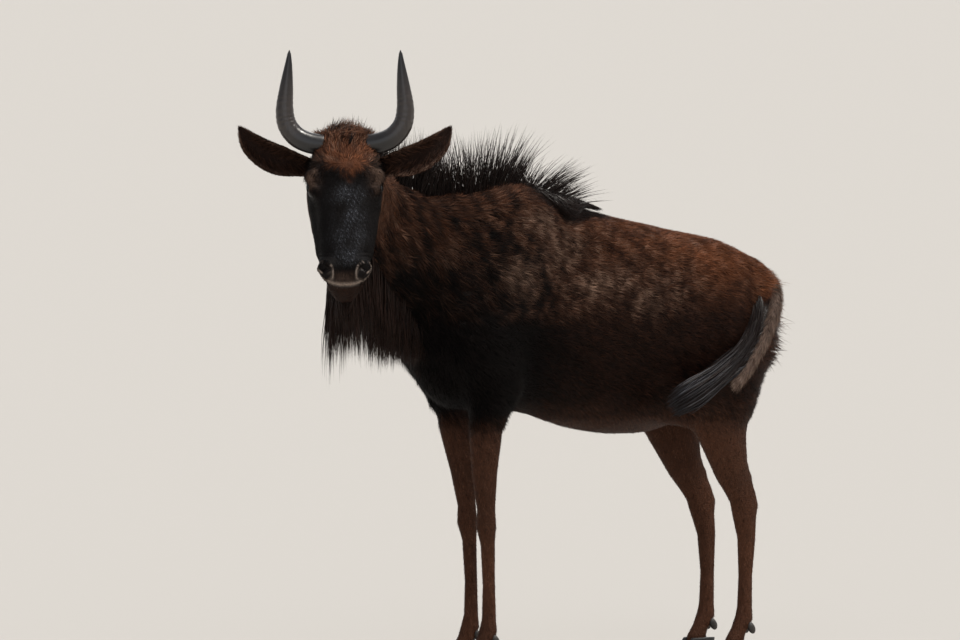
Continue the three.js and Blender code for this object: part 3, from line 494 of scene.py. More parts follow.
def draw_onto(points, distance, reach, rounds=3):
    """Moves the points onto the surface by damped steps down the gradient."""
    for _ in range(rounds):
        here, slope = steepest(points, distance)
        steep = np.maximum((slope**2).sum(1), 0.05)
        points = points - slope * np.clip(here / steep, -reach, reach)[:, None]
    return points


# Skin: one closed surface drawn over the flesh, with quads of one size on the body, half
# that on the head and legs, and finer still round the eyes and on the muzzle.
BODY_CELL = 10.0
SMOOTHING = 0.35


def wrap(distance, low, high, cell):
    """A net of quads over the surface: one vertex in each grid cell that the surface crosses,
    at the mean of the crossings, and one quad round each grid edge that it crosses."""
    counts = np.ceil((high - low) / cell).astype(int) + 1
    axes = [low[n] + cell * np.arange(counts[n]) for n in range(3)]
    points = np.stack(np.meshgrid(*axes, indexing="ij"), -1).reshape(-1, 3)
    values = distance(points).reshape(counts)
    cells = counts - 1
    corners = [(m & 1, (m >> 1) & 1, (m >> 2) & 1) for m in range(8)]
    cube = np.stack([values[a:a + cells[0], b:b + cells[1], c:c + cells[2]] for a, b, c in corners], -1)
    solid = (cube < 0).sum(-1)
    at = np.argwhere((solid > 0) & (solid < 8))
    here = cube[tuple(at.T)]
    total, crossings = np.zeros((len(at), 3)), np.zeros(len(at))
    for m in range(8):
        for bit in (1, 2, 4):
            n = m | bit
            if n == m:
                continue
            crossed = (here[:, m] < 0) != (here[:, n] < 0)
            t = np.where(crossed, here[:, m] / np.where(crossed, here[:, m] - here[:, n], 1), 0)
            a, b = np.array(corners[m]), np.array(corners[n])
            total += crossed[:, None] * (a + (b - a) * t[:, None])
            crossings += crossed
    vertices = low + cell * (at + total / crossings[:, None])
    number = np.full(cells, -1)
    number[tuple(at.T)] = np.arange(len(at))
    quads = []
    for axis in range(3):
        first, second = (axis + 1) % 3, (axis + 2) % 3
        along = np.diff((values < 0).astype(int), axis=axis)
        edge = np.argwhere(along != 0)
        turned = along[tuple(edge.T)] > 0
        ring = []
        for u, v in ((0, 0), (1, 0), (1, 1), (0, 1)):
            cell_at = edge.copy()
            cell_at[:, first] -= u
            cell_at[:, second] -= v
            ring.append(number[tuple(cell_at.T)])
        quad = np.stack(ring, 1)
        quads.append(np.where(turned[:, None], quad[:, ::-1], quad))
    return vertices, np.concatenate(quads)


def even_out(vertices, edges, share):
    """Moves each vertex a share of the way to the mean of its neighbours."""
    total, count = np.zeros_like(vertices), np.bincount(edges.ravel(), minlength=len(vertices))
    for a, b in ((0, 1), (1, 0)):
        for n in range(3):
            total[:, n] += np.bincount(edges[:, a], vertices[edges[:, b], n], len(vertices))
    return vertices + share * (total / np.maximum(count, 1)[:, None] - vertices)


def read_rows(items, name, width, kind=float):
    """What each of a mesh's vertices, edges, faces or corners holds under a name, as rows."""
    values = np.empty(len(items) * width, kind)
    items.foreach_get(name, values)
    return values.reshape(-1, width)


def read_points(mesh):
    """The mesh's vertices as an array."""
    return read_rows(mesh.vertices, "co", 3)


def read_edges(mesh):
    """The mesh's edges as an array of vertex pairs."""
    return read_rows(mesh.edges, "vertices", 2, int)


def refine(mesh, wanted, cell):
    """Halves the faces whose vertices all are wanted, and draws the mesh onto the skin again."""
    work = bmesh.new()
    work.from_mesh(mesh)
    work.verts.ensure_lookup_table()
    chosen = wanted(read_points(mesh))
    edges = [edge for edge in work.edges if chosen[edge.verts[0].index] and chosen[edge.verts[1].index]]
    bmesh.ops.subdivide_edges(work, edges=edges, cuts=1, use_grid_fill=True)
    work.to_mesh(mesh)
    work.free()
    points = read_points(mesh)
    moving = np.flatnonzero(wanted(points))
    for _ in range(2):
        points[moving] = even_out(points, read_edges(mesh), SMOOTHING)[moving]
        points[moving] = draw_onto(points[moving], skin_distance, cell / 2)
    mesh.vertices.foreach_set("co", points.ravel())
    mesh.update()


eye_low, eye_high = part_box("eye_left")
shift = np.array((eye_low + eye_high) / 2) / MM - on_head(*EYE_PLACE)
flesh_low = np.array(cad_low) / MM - shift - 30.0
flesh_high = np.array(cad_high) / MM - shift + 30.0
net, net_quads = wrap(skin_distance, flesh_low, flesh_high, BODY_CELL)
skin_mesh = bpy.data.meshes.new("skin")
skin_mesh.from_pydata(net, [], net_quads.tolist())
for _ in range(3):
    net = even_out(net, read_edges(skin_mesh), SMOOTHING)
    net = draw_onto(net, skin_distance, BODY_CELL / 2, 2)
skin_mesh.vertices.foreach_set("co", net.ravel())
skin_mesh.update()

# Head in detail: lids over the eyeballs with an almond opening, nostrils like commas,
# cheek ridges below the eyes and short stubs that carry the ears.
LID_RADIUS = 22.0
NECK_OF_EAR = [(74, -44, -86), (100, -46, -78), (122, -49, -71)]
gazes = {}
nostril_holes = []
for side, side_name in SIDES:
    gaze = unit(side * 0.86 * head_left + 0.46 * face_out - 0.10 * face_down)
    slant = unit(0.87 * face_down + 0.50 * face_out)
    slant = unit(slant - gaze * (slant @ gaze))
    gazes[side_name] = (gaze, slant, np.cross(gaze, slant))
    eye_axes = np.array(gazes[side_name])
    eye = eye_centre(side)
    grow(head_chain(side, [(71, -62, 168, 9, 9), (56, -58, 275, 7, 7)]), 24)
    grow(head_chain(side, [(62, -16, 66, 9, 8), (78, -20, 96, 10, 10), (84, -26, 110, 9, 9)]), 20)
    grow(egg(on_head(side * 102, -62, 62), (20, 26, 34)), 30, -1)
    grow(egg(on_head(side * 96, -34, 190), (20, 26, 40)), 30, -1)
    grow(egg(eye, (LID_RADIUS, LID_RADIUS, LID_RADIUS)), 7)
    grow(egg(eye + gaze * 25, (15, 13.5, 7.6), eye_axes), 1.5, -1)
    grow(head_chain(side, [(26, -4, 352, 5, 5), (31, 0, 334, 6, 6), (41, 0, 319, 7, 7),
                           (53, -13, 317, 6, 6), (59, -28, 328, 5, 5)]), 9)
    nostril = head_chain(side, [(27, -11, 368, 4, 4), (35, -3, 352, 7, 9), (43, -1, 336, 9, 10),
                                (54, -15, 325, 4.5, 5)])
    nostril_holes.append(nostril[0])
    grow(nostril, 3, -1)
    grow(egg(on_head(side * 38, -26, 342), (9, 20, 12)), 5, -1)
    grow(chain([(*place, 17, 17) for place in poll_route(NECK_OF_EAR, side)], head_left), 20)

# Finer nets: the head and the legs at half the body's size, then the muzzle and the
# surrounds of the eyes, and last the lids.
EYE_ZONE = 34.0


def on_limb_or_head(points):
    """Whether each point lies on the head or on a leg."""
    left, out, down = head_place(points).T
    head = (np.abs(left) < 150) & (out > -190) & (down > -40) & (down < 440)
    return head | (points[:, 2] < 560)


def on_muzzle_or_eye(points):
    """Whether each point lies on the muzzle, the mouth or near an eye."""
    left, out, down = head_place(points).T
    muzzle = (down > 280) & (down < 430) & (out > -130) & (np.abs(left) < 90)
    return muzzle | (eye_gap(points) < EYE_ZONE + 8)


refine(skin_mesh, on_limb_or_head, BODY_CELL / 2)
refine(skin_mesh, on_muzzle_or_eye, BODY_CELL / 4)
refine(skin_mesh, lambda points: eye_gap(points) < EYE_ZONE, BODY_CELL / 8)

# Ears and tail stalk of the skin: each ear is a long leaf, cupped to the front and rolled
# at its root, and the stalk is a tapering tube that swings round the left buttock.
EAR_SPINE = [(74, -44, -86), (106, -46, -79), (141, -52, -71), (176, -58, -58), (212, -64, -33),
             (242, -70, 6)]
EAR_WIDTHS = [(0, 20), (0.16, 26), (0.38, 34), (0.60, 32), (0.80, 24), (0.93, 12), (1, 3)]
EAR_THICKNESS = 4.2
EAR_STEPS, EAR_RING = 46, 36
STALK_ROUTE = [(0, 454, 884), (22, 482, 876), (62, 477, 857), (104, 456, 832), (135, 431, 804),
               (153, 404, 772), (165, 378, 738), (173, 350, 704), (178, 322, 672), (180, 296, 646)]
STALK_STEPS, STALK_RING = 70, 20
HEAD_PART, BODY_PART, LEG_PARTS, EAR_PARTS, TAIL_PART = 0, 1, (2, 3, 4, 5), (6, 7), 8


def curve_through(points, t):
    """Points at shares t of a smooth curve's length: cubic Hermite over the chord lengths."""
    points = np.array(points, float)
    chords = np.linalg.norm(np.diff(points, axis=0), axis=1)
    stations = np.concatenate([[0], np.cumsum(chords)])
    return read_table(np.column_stack([stations, points]), np.asarray(t) * stations[-1])


def closed_rings(rings):
    """Vertices and faces of a closed body from rings of points (along, around, xyz), with a
    fan of triangles at each end."""
    count, around = rings.shape[:2]
    vertices = np.concatenate([rings.reshape(-1, 3), rings[0].mean(0)[None], rings[-1].mean(0)[None]])
    i, j = np.meshgrid(np.arange(count - 1), np.arange(around), indexing="ij")
    here, beside = (i * around + j).ravel(), (i * around + (j + 1) % around).ravel()
    quads = np.stack([here, beside, beside + around, here + around], 1)
    j = np.arange(around)
    last = (count - 1) * around
    first_fan = np.stack([(j + 1) % around, j, np.full(around, count * around)], 1)
    last_fan = np.stack([last + j, last + (j + 1) % around, np.full(around, count * around + 1)], 1)
    return vertices, quads.tolist() + first_fan.tolist() + last_fan.tolist()


def outward(vertices, faces):
    """The faces, all turned over if the volume they enclose is negative."""
    triangles = np.array([face[:3] for face in faces]
                         + [face[2:] + face[:1] for face in faces if len(face) > 3])
    a, b, c = (vertices[triangles[:, n]] for n in range(3))
    return faces if np.einsum("ij,ij->", a, np.cross(b, c)) > 0 else [face[::-1] for face in faces]


def solid_mesh(name, rings):
    """A smooth closed mesh from rings of points."""
    vertices, faces = closed_rings(rings)
    mesh = bpy.data.meshes.new(name)
    mesh.from_pydata(vertices, [], outward(vertices, faces))
    mesh.polygons.foreach_set("use_smooth", np.ones(len(faces), bool))
    return mesh


def ear_cup(t, width, place):
    """How far the ear's leaf is bent forward: by the square of the place across, and more
    towards the root."""
    return (0.50 + 0.7 * (1 - t) ** 2) * width * (place**2 - 0.35)


def ear_rings(side):
    """Rings round an ear: across the leaf by cos and through its thickness by sin. Returns
    also the lie of the hair, the share to the front and the place across of each point."""
    t = np.linspace(0, 1, EAR_STEPS)
    spine = curve_through(poll_route(EAR_SPINE, side), t)
    along = unit(np.gradient(spine, axis=0))
    across = unit(np.cross(along, head_forward))[:, None]
    width = read_table(EAR_WIDTHS, t)[:, :1]
    angle = turns(EAR_RING)[None]
    place, through = np.cos(angle), np.sin(angle)
    cup = ear_cup(t[:, None], width, place)
    cup = cup + 0.06 * width * np.sin(7 * t[:, None] + 2 * place) * place**2
    ridges = 0.5 * np.cos(place * 9) * (through > 0) * step(0.05, 0.2, t[:, None]) * step(1, 0.8, t[:, None])
    thick = EAR_THICKNESS / 2 * through * (1 - 0.45 * place**2) * step(-0.1, 0.15, 1 - t[:, None]) + ridges
    rings = spine[:, None] + across * (width * place)[..., None] + head_forward * (cup + thick)[..., None]
    return rings, np.broadcast_to(along[:, None], rings.shape), through + 0 * width, place + 0 * width


def stalk_rings():
    """Rings round the tail's stalk, thick where it leaves the rump and thin at its end. It
    returns what ear_rings returns, with neither a front nor a place across."""
    t = np.linspace(0, 1, STALK_STEPS)
    centre = curve_through(STALK_ROUTE, t)
    along = unit(np.gradient(centre, axis=0))
    side = unit(np.cross(along, np.cross([0.0, 1.0, 0.0], along)))
    fore = np.cross(along, side)
    angle = turns(STALK_RING)[None, :, None]
    width = (23 - 9 * np.sqrt(t) - LEG_COAT)[:, None, None]
    depth = (20 - 8 * np.sqrt(t) - LEG_COAT)[:, None, None]
    rings = centre[:, None] + side[:, None] * np.cos(angle) * width + fore[:, None] * np.sin(angle) * depth
    nothing = np.zeros(rings.shape[:2])
    return rings, np.broadcast_to(along[:, None], rings.shape), nothing, nothing


def end_pair(values):
    """The means of the first and the last ring's values, for the two middle points of the ends."""
    return np.stack([values[0].mean(0), values[-1].mean(0)])


flesh_count = len(skin_mesh.vertices)
joined = bmesh.new()
joined.from_mesh(skin_mesh)
added_lies, added_parts, added_fronts, added_places = [], [], [], []
for part, built in ((EAR_PARTS[0], ear_rings(1)), (EAR_PARTS[1], ear_rings(-1)), (TAIL_PART, stalk_rings())):
    rings, lies, front, place = built
    piece_mesh = solid_mesh("part", rings)
    joined.from_mesh(piece_mesh)
    added_lies.append(np.concatenate([lies.reshape(-1, 3), end_pair(lies)]))
    added_parts.append(np.full(len(piece_mesh.vertices), part))
    added_fronts.append(np.concatenate([front.ravel(), [0, 0]]))
    added_places.append(np.concatenate([np.abs(place).ravel(), [0, 0]]))
    bpy.data.meshes.remove(piece_mesh)
joined.to_mesh(skin_mesh)
joined.free()
skin_mesh.polygons.foreach_set("use_smooth", np.ones(len(skin_mesh.polygons), bool))
skin_mesh.update()

# Lie of the coat: from the muzzle up over the face, from the poll back along the neck and
# the trunk, and down the limbs, with small swirls so that no stretch is combed quite flat.
skin_points = read_points(skin_mesh)
skin_normals = read_rows(skin_mesh.vertices, "normal", 3)
flesh_points = skin_points[:flesh_count]
on_face, on_leg, on_neck = face_share(flesh_points), leg_share(flesh_points), neck_share(flesh_points)
left, out, down = head_place(flesh_points).T


def lie_of_coat(points):
    """The direction in which the hair lies at each point, before it is laid along the skin."""
    trunk = unit(np.array([0.0, 1.0, -0.42]))
    neck = unit(np.array([-0.12, 0.80, -0.62]))
    leg = np.array([0.0, 0.14, -0.99])
    lie = trunk + (neck - trunk) * on_neck[:, None]
    lie = lie + (leg - lie) * on_leg[:, None]
    face = (face_down + 0.5 * np.sign(left)[:, None] * step(0, 50, np.abs(left))[:, None] * head_left
            - 0.8 * step(-60, -100, out)[:, None] * face_out)
    crown = -face_down - 0.4 * face_out + 0.010 * left[:, None] * head_left
    face = face + (crown - face) * step(95, 60, down)[:, None]
    lie = lie + (face - lie) * on_face[:, None]
    swirl = np.stack([waves(points, 120, seed) for seed in (21, 22, 23)], 1)
    clump = np.stack([waves(points, 34, seed) for seed in (24, 25, 26)], 1)
    rough = (1 - 0.7 * on_face) * (1 - 0.6 * on_leg) * (0.6 + 0.4 * step(760, 860, points[:, 2]))
    return lie + 0.16 * swirl + 0.46 * clump * rough[:, None]


def laid(vectors, normals):
    """The vectors turned into the plane of the skin, at length 1."""
    return unit(vectors - normals * (vectors * normals).sum(1, keepdims=True))


skin_lies = laid(np.concatenate([lie_of_coat(flesh_points), *added_lies]), skin_normals)
part_of_vertex = np.where(on_face > 0.5, HEAD_PART, BODY_PART)
for part, hind, sign in zip(LEG_PARTS, (False, True, False, True), (1, 1, -1, -1)):
    on_this = (on_leg > 0.5) & ((flesh_points[:, 1] > 0) == hind) & (flesh_points[:, 0] * sign > 0)
    part_of_vertex[on_this] = part
part_of_vertex = np.concatenate([part_of_vertex, *added_parts])
ear_front = np.concatenate([np.zeros(flesh_count), *added_fronts])
ear_places = np.concatenate([np.zeros(flesh_count), *added_places])

# Markings, as shares of four colours on every point of the skin, which skin and coat read
# alike: a black face and throat under a rufous forehead, rufous along the back and croup,
# upright dark bands on neck and shoulder, and greyish patches where the coat is worn. Some
# shares are painted light: shade on the lower body, in the ears, the nostrils and round the
# eyes, light bounced onto the belly, sunlight on the left cheek and the tail's stalk, and
# highlights on the brows, the lips and the nostril rims.
BACK_LINE = [(-500, 1000), (-370, 1060), (-190, 1105), (-60, 1066), (70, 1030), (190, 1004),
             (310, 981), (400, 952), (514, 900)]
BELLY_LEVEL = 530.0
BAND_SPACING = 47.0
WORN_PATCHES = [(45, 838, 60, 44), (-290, 915, 75, 70), (-219, 1040, 60, 45), (-150, 975, 95, 70),
                (250, 900, 80, 44), (-60, 890, 110, 44)]


def back_height(y):
    """The height of the line of the back at each place along the body."""
    return np.interp(y, *np.array(BACK_LINE, float).T)


def rump_share(points):
    """1 on the back of the buttocks, where the hair is long and stands off a little."""
    return step(350, 430, points[:, 1]) * step(640, 740, points[:, 2]) * step(920, 870, points[:, 2])


def markings(points):
    """Shares of black, rufous, grey and pale at each point of the flesh."""
    x, y, z = points.T
    back = back_height(y)
    height = np.clip((z - BELLY_LEVEL) / (back - BELLY_LEVEL), 0, 1.2)
    blotch, patch, fleck = waves(points, 210, 31), waves(points, 75, 32), waves(points, 26, 34)
    rump = rump_share(points)
    to_rear = step(-330, 330, y)
    upright = points * (1.0, 1.0, 0.4)
    grain = 0.5 * fleck + 0.5 * waves(upright, 44, 40) + 0.5 * waves(upright, 17, 39)
    top = step(0.62 + 0.06 * blotch, 0.92, height)
    # The dark lower body and thigh are partly the coat's own dark underside and partly painted shade.
    thigh = step(90, 190, y) * step(832, 800, z + 9 * patch) * (1 - rump)
    low = np.maximum(step(838, 790, z + 14 * blotch + 10 * patch), thigh)
    low = low * (1 - 0.9 * crease(y - 45, 52) * crease(z - 836, 40))
    middle = (1 - low) * step(1.04, 0.88, height) * step(260, 120, y)
    rufous = top * (0.28 + 0.60 * to_rear) * (0.9 + 0.35 * patch + 0.4 * grain) + 0.12 + 0.06 * fleck
    rufous = rufous * (1 - 0.5 * thigh) + 0.60 * rump * (1 + 0.3 * fleck)
    # The reddish belly: partly its own colour and partly painted light bounced up from the ground.
    belly_tint_and_bounce = step(0.22, 0.06, height) * (1 - on_leg)
    rufous = rufous + 0.14 * belly_tint_and_bounce
    front = step(-60, -260, y) * (1 - on_leg)
    wander = 1.7 * waves(points, 120, 33) + 0.8 * waves(points, 40, 35)
    band = 0.5 + 0.5 * np.sin((y + 0.30 * (z - 900)) * 2 * math.pi / BAND_SPACING + wander)
    bands = band**1.3 * step(-160, -330, y) * step(700, 860, z)
    thin = waves(upright, 20, 47)
    black = np.maximum(0.68 * low * (1 - 0.25 * thigh), bands * (0.62 + 0.20 * patch + 0.55 * thin))
    black = black + 0.32 * front + 0.60 * middle * step(0.32, -0.52, grain)
    black = black + 0.30 * step(-230, -380, y) * step(1020, 930, z) * (1 - on_leg)
    rufous = rufous + 0.06 * front * (1 - bands) * step(760, 900, z)
    worn = np.full(len(points), 0.20)
    for patch_y, patch_z, long, tall in WORN_PATCHES:
        worn = np.maximum(worn, crease(y - patch_y, long) * crease(z - patch_z, tall))
    grey = middle * np.clip(0.02 + 0.52 * worn + 0.60 * grain, 0, 1) * (0.45 + 0.55 * worn)
    grey = grey + 0.14 * front * (1 - bands) * step(900, 1000, z)
    grey = grey + 0.30 * step(0.0, 0.7, grain) * top * to_rear
    black = black * (1 - 0.9 * np.clip(grey, 0, 1))
    leg_black = 0.28 + 0.20 * blotch + 0.16 * fleck - 0.14 * step(420, 200, z)
    black = black + (leg_black - black) * on_leg
    rufous = rufous + (0.38 + 0.08 * fleck - rufous) * on_leg
    grey = grey + (0.06 - grey) * on_leg
    throat = on_neck * step(-60, -150, out) * step(1050, 900, z)
    leaf = 22 + 36 * crease(y + 110, 60) * (x > 0)
    wedge = step(leaf + 6, leaf - 8, back - z) * step(50, 10, y) * step(-270, -170, y)
    black = np.maximum(black, np.maximum(0.8 * throat, 0.95 * wedge))

    ragged = 6 * patch + 9 * fleck + 5 * waves(points, 12, 36)
    forehead = step(-22, 20, 116 - 0.95 * np.abs(left - 6) + 1.3 * ragged - down)
    cheek = step(-60, -90, out) * step(310, 240, down)
    whorl = step(0.1, 0.7, waves(points, 34, 45)) * step(70, 30, down)
    # Painted sunlight: the rufous cheeks are brighter on the left side, where the light falls.
    sunlit_side = step(30, 60, left) * step(-130, -60, out)
    cheek = cheek * (0.62 + 0.38 * sunlit_side)
    face_black = (1 - forehead) * (1 - 0.95 * cheek) + forehead * (0.35 * whorl + 0.10)
    face_rufous = (0.68 + 0.4 * fleck) * forehead + (1.0 + 0.3 * fleck) * cheek * (1 - forehead)
    mouth = above_mouth(points)
    chin = step(-1, -7, mouth) * step(300, 330, down)
    face_black, face_rufous = face_black * (1 - 0.25 * chin), face_rufous + 0.30 * chin
    # Pale lines along the lips and round the nostrils: painted highlights of the wet muzzle.
    lip_highlight = crease(mouth - 2.6, 3.8) * step(318, 340, down)
    from_hole = np.min([hole(points) for hole in nostril_holes], 0)
    rim_highlight = 0.85 * crease(from_hole - 5.6, 1.9) * step(364, 346, down)
    between = step(30, 16, np.abs(left)) * step(330, 346, down) * step(0, 6, mouth)
    # Painted highlights on the brows above the eyes, in grey.
    brow_place = np.stack([np.abs(left) - 76, out + 6, (down - 106) * 0.5], 1)
    brow_highlight = 0.95 * crease(np.linalg.norm(brow_place, axis=1), 20) * (1 + 0.6 * fleck)
    face_grey = 0.8 * lip_highlight + 0.8 * rim_highlight + 0.5 * between + 0.9 * brow_highlight
    face_grey = face_grey + 0.50 * forehead * step(0.1, 0.7, waves(points, 30, 42)) * step(85, 60, down)
    face_grey = face_grey + 0.30 * cheek * (1 - forehead)
    black = black + (face_black - black) * on_face
    black = black * (1 - 0.85 * np.clip(lip_highlight + rim_highlight + 0.4 * between + 0.8 * brow_highlight, 0, 1) * on_face)
    rufous = rufous + (face_rufous - rufous) * on_face
    grey = grey + (face_grey - grey) * on_face
    pale = np.clip(0.95 * lip_highlight + 0.95 * rim_highlight, 0, 1) * on_face
    # Painted shade: the nostrils and the skin round the eyes are made black, as shade in these hollows.
    nostril = np.stack([np.abs(left) - 39, out + 18, down - 343], 1)
    hollow_shade = np.maximum(step(15, 11, np.linalg.norm(nostril, axis=1)), step(24, 20, eye_gap(points)))
    hollow_shade = np.maximum(hollow_shade, step(3.9, 3.0, from_hole) * on_face)[:, None]
    shares = np.stack([black, rufous, grey, pale], 1)
    return np.clip(shares + (np.array([0.95, 0.0, 0.0, 0.0]) - shares) * hollow_shade, 0, 1)


def painted_glint(points):
    """The share of the painted bluish highlight on the bridge of the nose, a sky reflection."""
    sides = crease((left - 8 - 0.05 * (down - 150)) / 46, 1) ** 2
    bridge = sides * step(112, 150, down) * step(334, 300, down) * step(-60, -30, out)
    return np.clip(bridge * (0.65 + 0.8 * waves(points, 56, 37)), 0, 1) * on_face


# The inner face of the ear is darker than its back, partly its own colour and partly painted shade in the
# cup.
ear_back = np.array([0.45, 0.34, 0.04, 0.0])
ear_inner_shaded = np.array([0.80, 0.30, 0.05, 0.0])
ear_rim = np.array([0.15, 0.40, 0.45, 0.06])
is_front = step(0.0, 0.35, ear_front[flesh_count:])[:, None]
is_rim = step(0.66, 0.9, ear_places[flesh_count:])[:, None]
inner = ear_inner_shaded + (ear_rim - ear_inner_shaded) * is_rim
other_marks = ear_back + (inner - ear_back) * is_front
# The tail's stalk: partly its own light brown and partly painted sunlight, made paler.
other_marks[part_of_vertex[flesh_count:] == TAIL_PART] = (0.0, 1.0, 0.38, 0.50)
skin_marks = np.concatenate([markings(flesh_points), other_marks])
skin_painted_glint = np.concatenate([painted_glint(flesh_points), np.zeros(len(skin_points) - flesh_count)])

# Atlas: the skin laid out flat in charts, one for each part and direction that it faces,
# packed in rows, so that every tuft of the coat has a place of its own.
ATLAS_SPAN = 3300.0
CHART_GAP = 12.0


def lay_out(mesh, points, parts):
    """Each corner's place in the atlas: its face's chart is the part with the axis that the
    face looks along most, drawn square on that axis, and the charts stand in rows."""
    corner = read_rows(mesh.loops, "vertex_index", 1, int)[:, 0]
    start, total = (read_rows(mesh.polygons, name, 1, int)[:, 0] for name in ("loop_start", "loop_total"))
    normal, count = read_rows(mesh.polygons, "normal", 3), len(mesh.polygons)
    part = parts[corner[start]]
    turned = np.isin(part, (HEAD_PART, *EAR_PARTS))
    normal[turned] = normal[turned] @ head_axes.T
    facing = np.argmax(np.abs(normal), 1)
    chart = part * 6 + facing * 2 + (normal[np.arange(count), facing] > 0)
    chart, facing, turned = (np.repeat(values, total) for values in (chart, facing, turned))
    place = points[corner]
    place[turned] = (place[turned] - POLL) @ head_axes.T
    across = np.where(facing == 0, place[:, 1], place[:, 0])
    upward = np.where(facing == 2, place[:, 1], place[:, 2])
    flat = np.stack([across, upward], 1)
    boxes = {n: (flat[chart == n].min(0), flat[chart == n].max(0)) for n in np.unique(chart)}
    corner_at, row_height = np.array([0.0, 0.0]), 0.0
    for n in sorted(boxes, key=lambda n: boxes[n][0][1] - boxes[n][1][1]):
        low, high = boxes[n]
        size = high - low + CHART_GAP
        if corner_at[0] + size[0] > ATLAS_SPAN:
            corner_at = np.array([0.0, corner_at[1] + row_height])
            row_height = 0.0
        flat[chart == n] += corner_at - low + CHART_GAP / 2
        corner_at = corner_at + (size[0], 0)
        row_height = max(row_height, size[1])
    return flat / ATLAS_SPAN


skin_atlas = lay_out(skin_mesh, skin_points, part_of_vertex)

# Paints: a material is mixed as Python sums of its sockets, and every other node of it
# comes from one method.

class Wire:
    """A socket of a shader that takes part in sums: each operator adds a Math node."""

    def __init__(self, paint, node, output=0):
        self.paint, self.node, self.socket = paint, node, node.outputs[output]

    def other(self, output):
        """Another output of the same node."""
        return Wire(self.paint, self.node, output)

    def worked(self, operation, *values):
        """The result of a Math operation on values or wires."""
        return self.paint.node("Math", {"operation": operation}, dict(enumerate(values)))

    def __add__(self, value):
        return self.worked("ADD", self, value)

    def __rsub__(self, value):
        return self.worked("SUBTRACT", value, self)

    def __mul__(self, value):
        return self.worked("MULTIPLY", self, value)

    __radd__ = __add__
    __rmul__ = __mul__


class Paint:
    """A material being mixed, with its node tree and its Principled shader."""

    def __init__(self, name, roughness=0.6, gloss=0.4):
        self.material = bpy.data.materials.new(name)
        self.material.use_nodes = True
        self.shader = self.material.node_tree.nodes["Principled BSDF"]
        self.shader.inputs["Roughness"].default_value = roughness
        self.shader.inputs["Specular IOR Level"].default_value = gloss

    def node(self, kind, settings=None, sockets=None, output=0):
        """Adds a node: its settings come first, then the values or wires of its sockets."""
        made = self.material.node_tree.nodes.new("ShaderNode" + kind)
        for name, value in (settings or {}).items():
            setattr(made, name, value)
        for name, value in (sockets or {}).items():
            self.plug(made.inputs[name], value)
        return Wire(self, made, output)

    def plug(self, socket, value):
        """Gives a socket a wire or a plain value."""
        if isinstance(value, Wire):
            self.material.node_tree.links.new(value.socket, socket)
        else:
            socket.default_value = value

    def set(self, **sockets):
        """Gives the shader's sockets wires or values, by their names with _ for each space."""
        for name, value in sockets.items():
            self.plug(self.shader.inputs[name.replace("_", " ")], value)

    def read(self, name, output="Fac"):
        """What is stored on the mesh's points under a name."""
        return self.node("Attribute", {"attribute_name": name}, output=output)

    def noise(self, scale, detail, stretch):
        """Cloudy noise over the object, finer with a larger scale and stretched on each axis."""
        point = self.node("TexCoord", output="Object")
        point = self.node("Mapping", {}, {"Vector": point, "Scale": stretch})
        return self.node("TexNoise", {}, {"Vector": point, "Scale": scale, "Detail": detail})

    def mixed(self, share, first, second):
        """Two colours mixed: the first where the share is 0, the second where it is 1."""
        return self.node("Mix", {"data_type": "RGBA"}, {0: share, 6: first, 7: second}, 2)

    def dimmed(self, colour, factor):
        """A colour times a number."""
        return self.node("VectorMath", {"operation": "SCALE"}, {0: colour, "Scale": factor})

    def bump(self, height, depth):
        """Relief from a height of 0 to 1 that is worth a depth in metres."""
        return self.node("Bump", {}, {"Height": height, "Distance": depth, "Strength": 1.0})


UMBER = (0.034, 0.0140, 0.0084, 1.0)
RUFOUS = (0.200, 0.070, 0.030, 1.0)
BLACK = (0.0046, 0.0030, 0.0027, 1.0)
# Grey of the worn coat, also used for the painted highlights on the brows, lips and nostril rims.
WORN_GREY_AND_HIGHLIGHT = (0.215, 0.134, 0.096, 1.0)
# Pale: the painted highlights on the lips and nostril rims, the painted sunlight on the tail's stalk, and the
# ears' pale rims.
PALE = (0.46, 0.37, 0.31, 1.0)
# Painted highlight: the bluish sky reflection painted on the nose and the tail's switch.
PAINTED_GLINT = (0.290, 0.312, 0.362, 1.0)


def coat_colour(paint, brightness):
    """The marked colour of the coat: umber, with shares of rufous, grey, black, pale and the
    painted bluish highlight on the nose and the tail's switch, times a brightness."""
    marks = paint.read("marks", "Color")
    shares = paint.node("SeparateColor", {}, {"Color": marks})
    colour = paint.mixed(shares.other("Green"), UMBER, RUFOUS)
    colour = paint.mixed(shares.other("Blue"), colour, WORN_GREY_AND_HIGHLIGHT)
    colour = paint.mixed(shares, colour, BLACK)
    colour = paint.mixed(marks.other("Alpha"), colour, PALE)
    colour = paint.mixed(paint.read("painted_highlight"), colour, PAINTED_GLINT)
    return paint.dimmed(colour, brightness)


def hair_facts(paint):
    """How far along its hair each point lies, and the luck of that hair."""
    facts = paint.node("SeparateXYZ", {}, {"Vector": paint.read("hair", "Vector")})
    return facts, facts.other("Y")


skin_paint = Paint("skin", roughness=0.6, gloss=0.10)
fine_hair = skin_paint.noise(190.0, 5.0, (3.0, 0.6, 1.6))
down_hair = skin_paint.noise(210.0, 5.0, (2.5, 2.5, 0.5))
bareness = skin_paint.read("bare")
skin_paint.set(Base_Color=coat_colour(skin_paint, 0.35 + 0.8 * fine_hair),
               Roughness=0.6 - 0.2 * bareness,
               Normal=skin_paint.bump((fine_hair * 0.5 + down_hair * 0.5) * (1 - 0.8 * bareness), 0.004))


def give_number(mesh, name, values):
    """Stores one number on each of the mesh's points, for its paint."""
    layer = mesh.attributes.new(name, "FLOAT", "POINT")
    layer.data.foreach_set("value", np.asarray(values, np.float32))


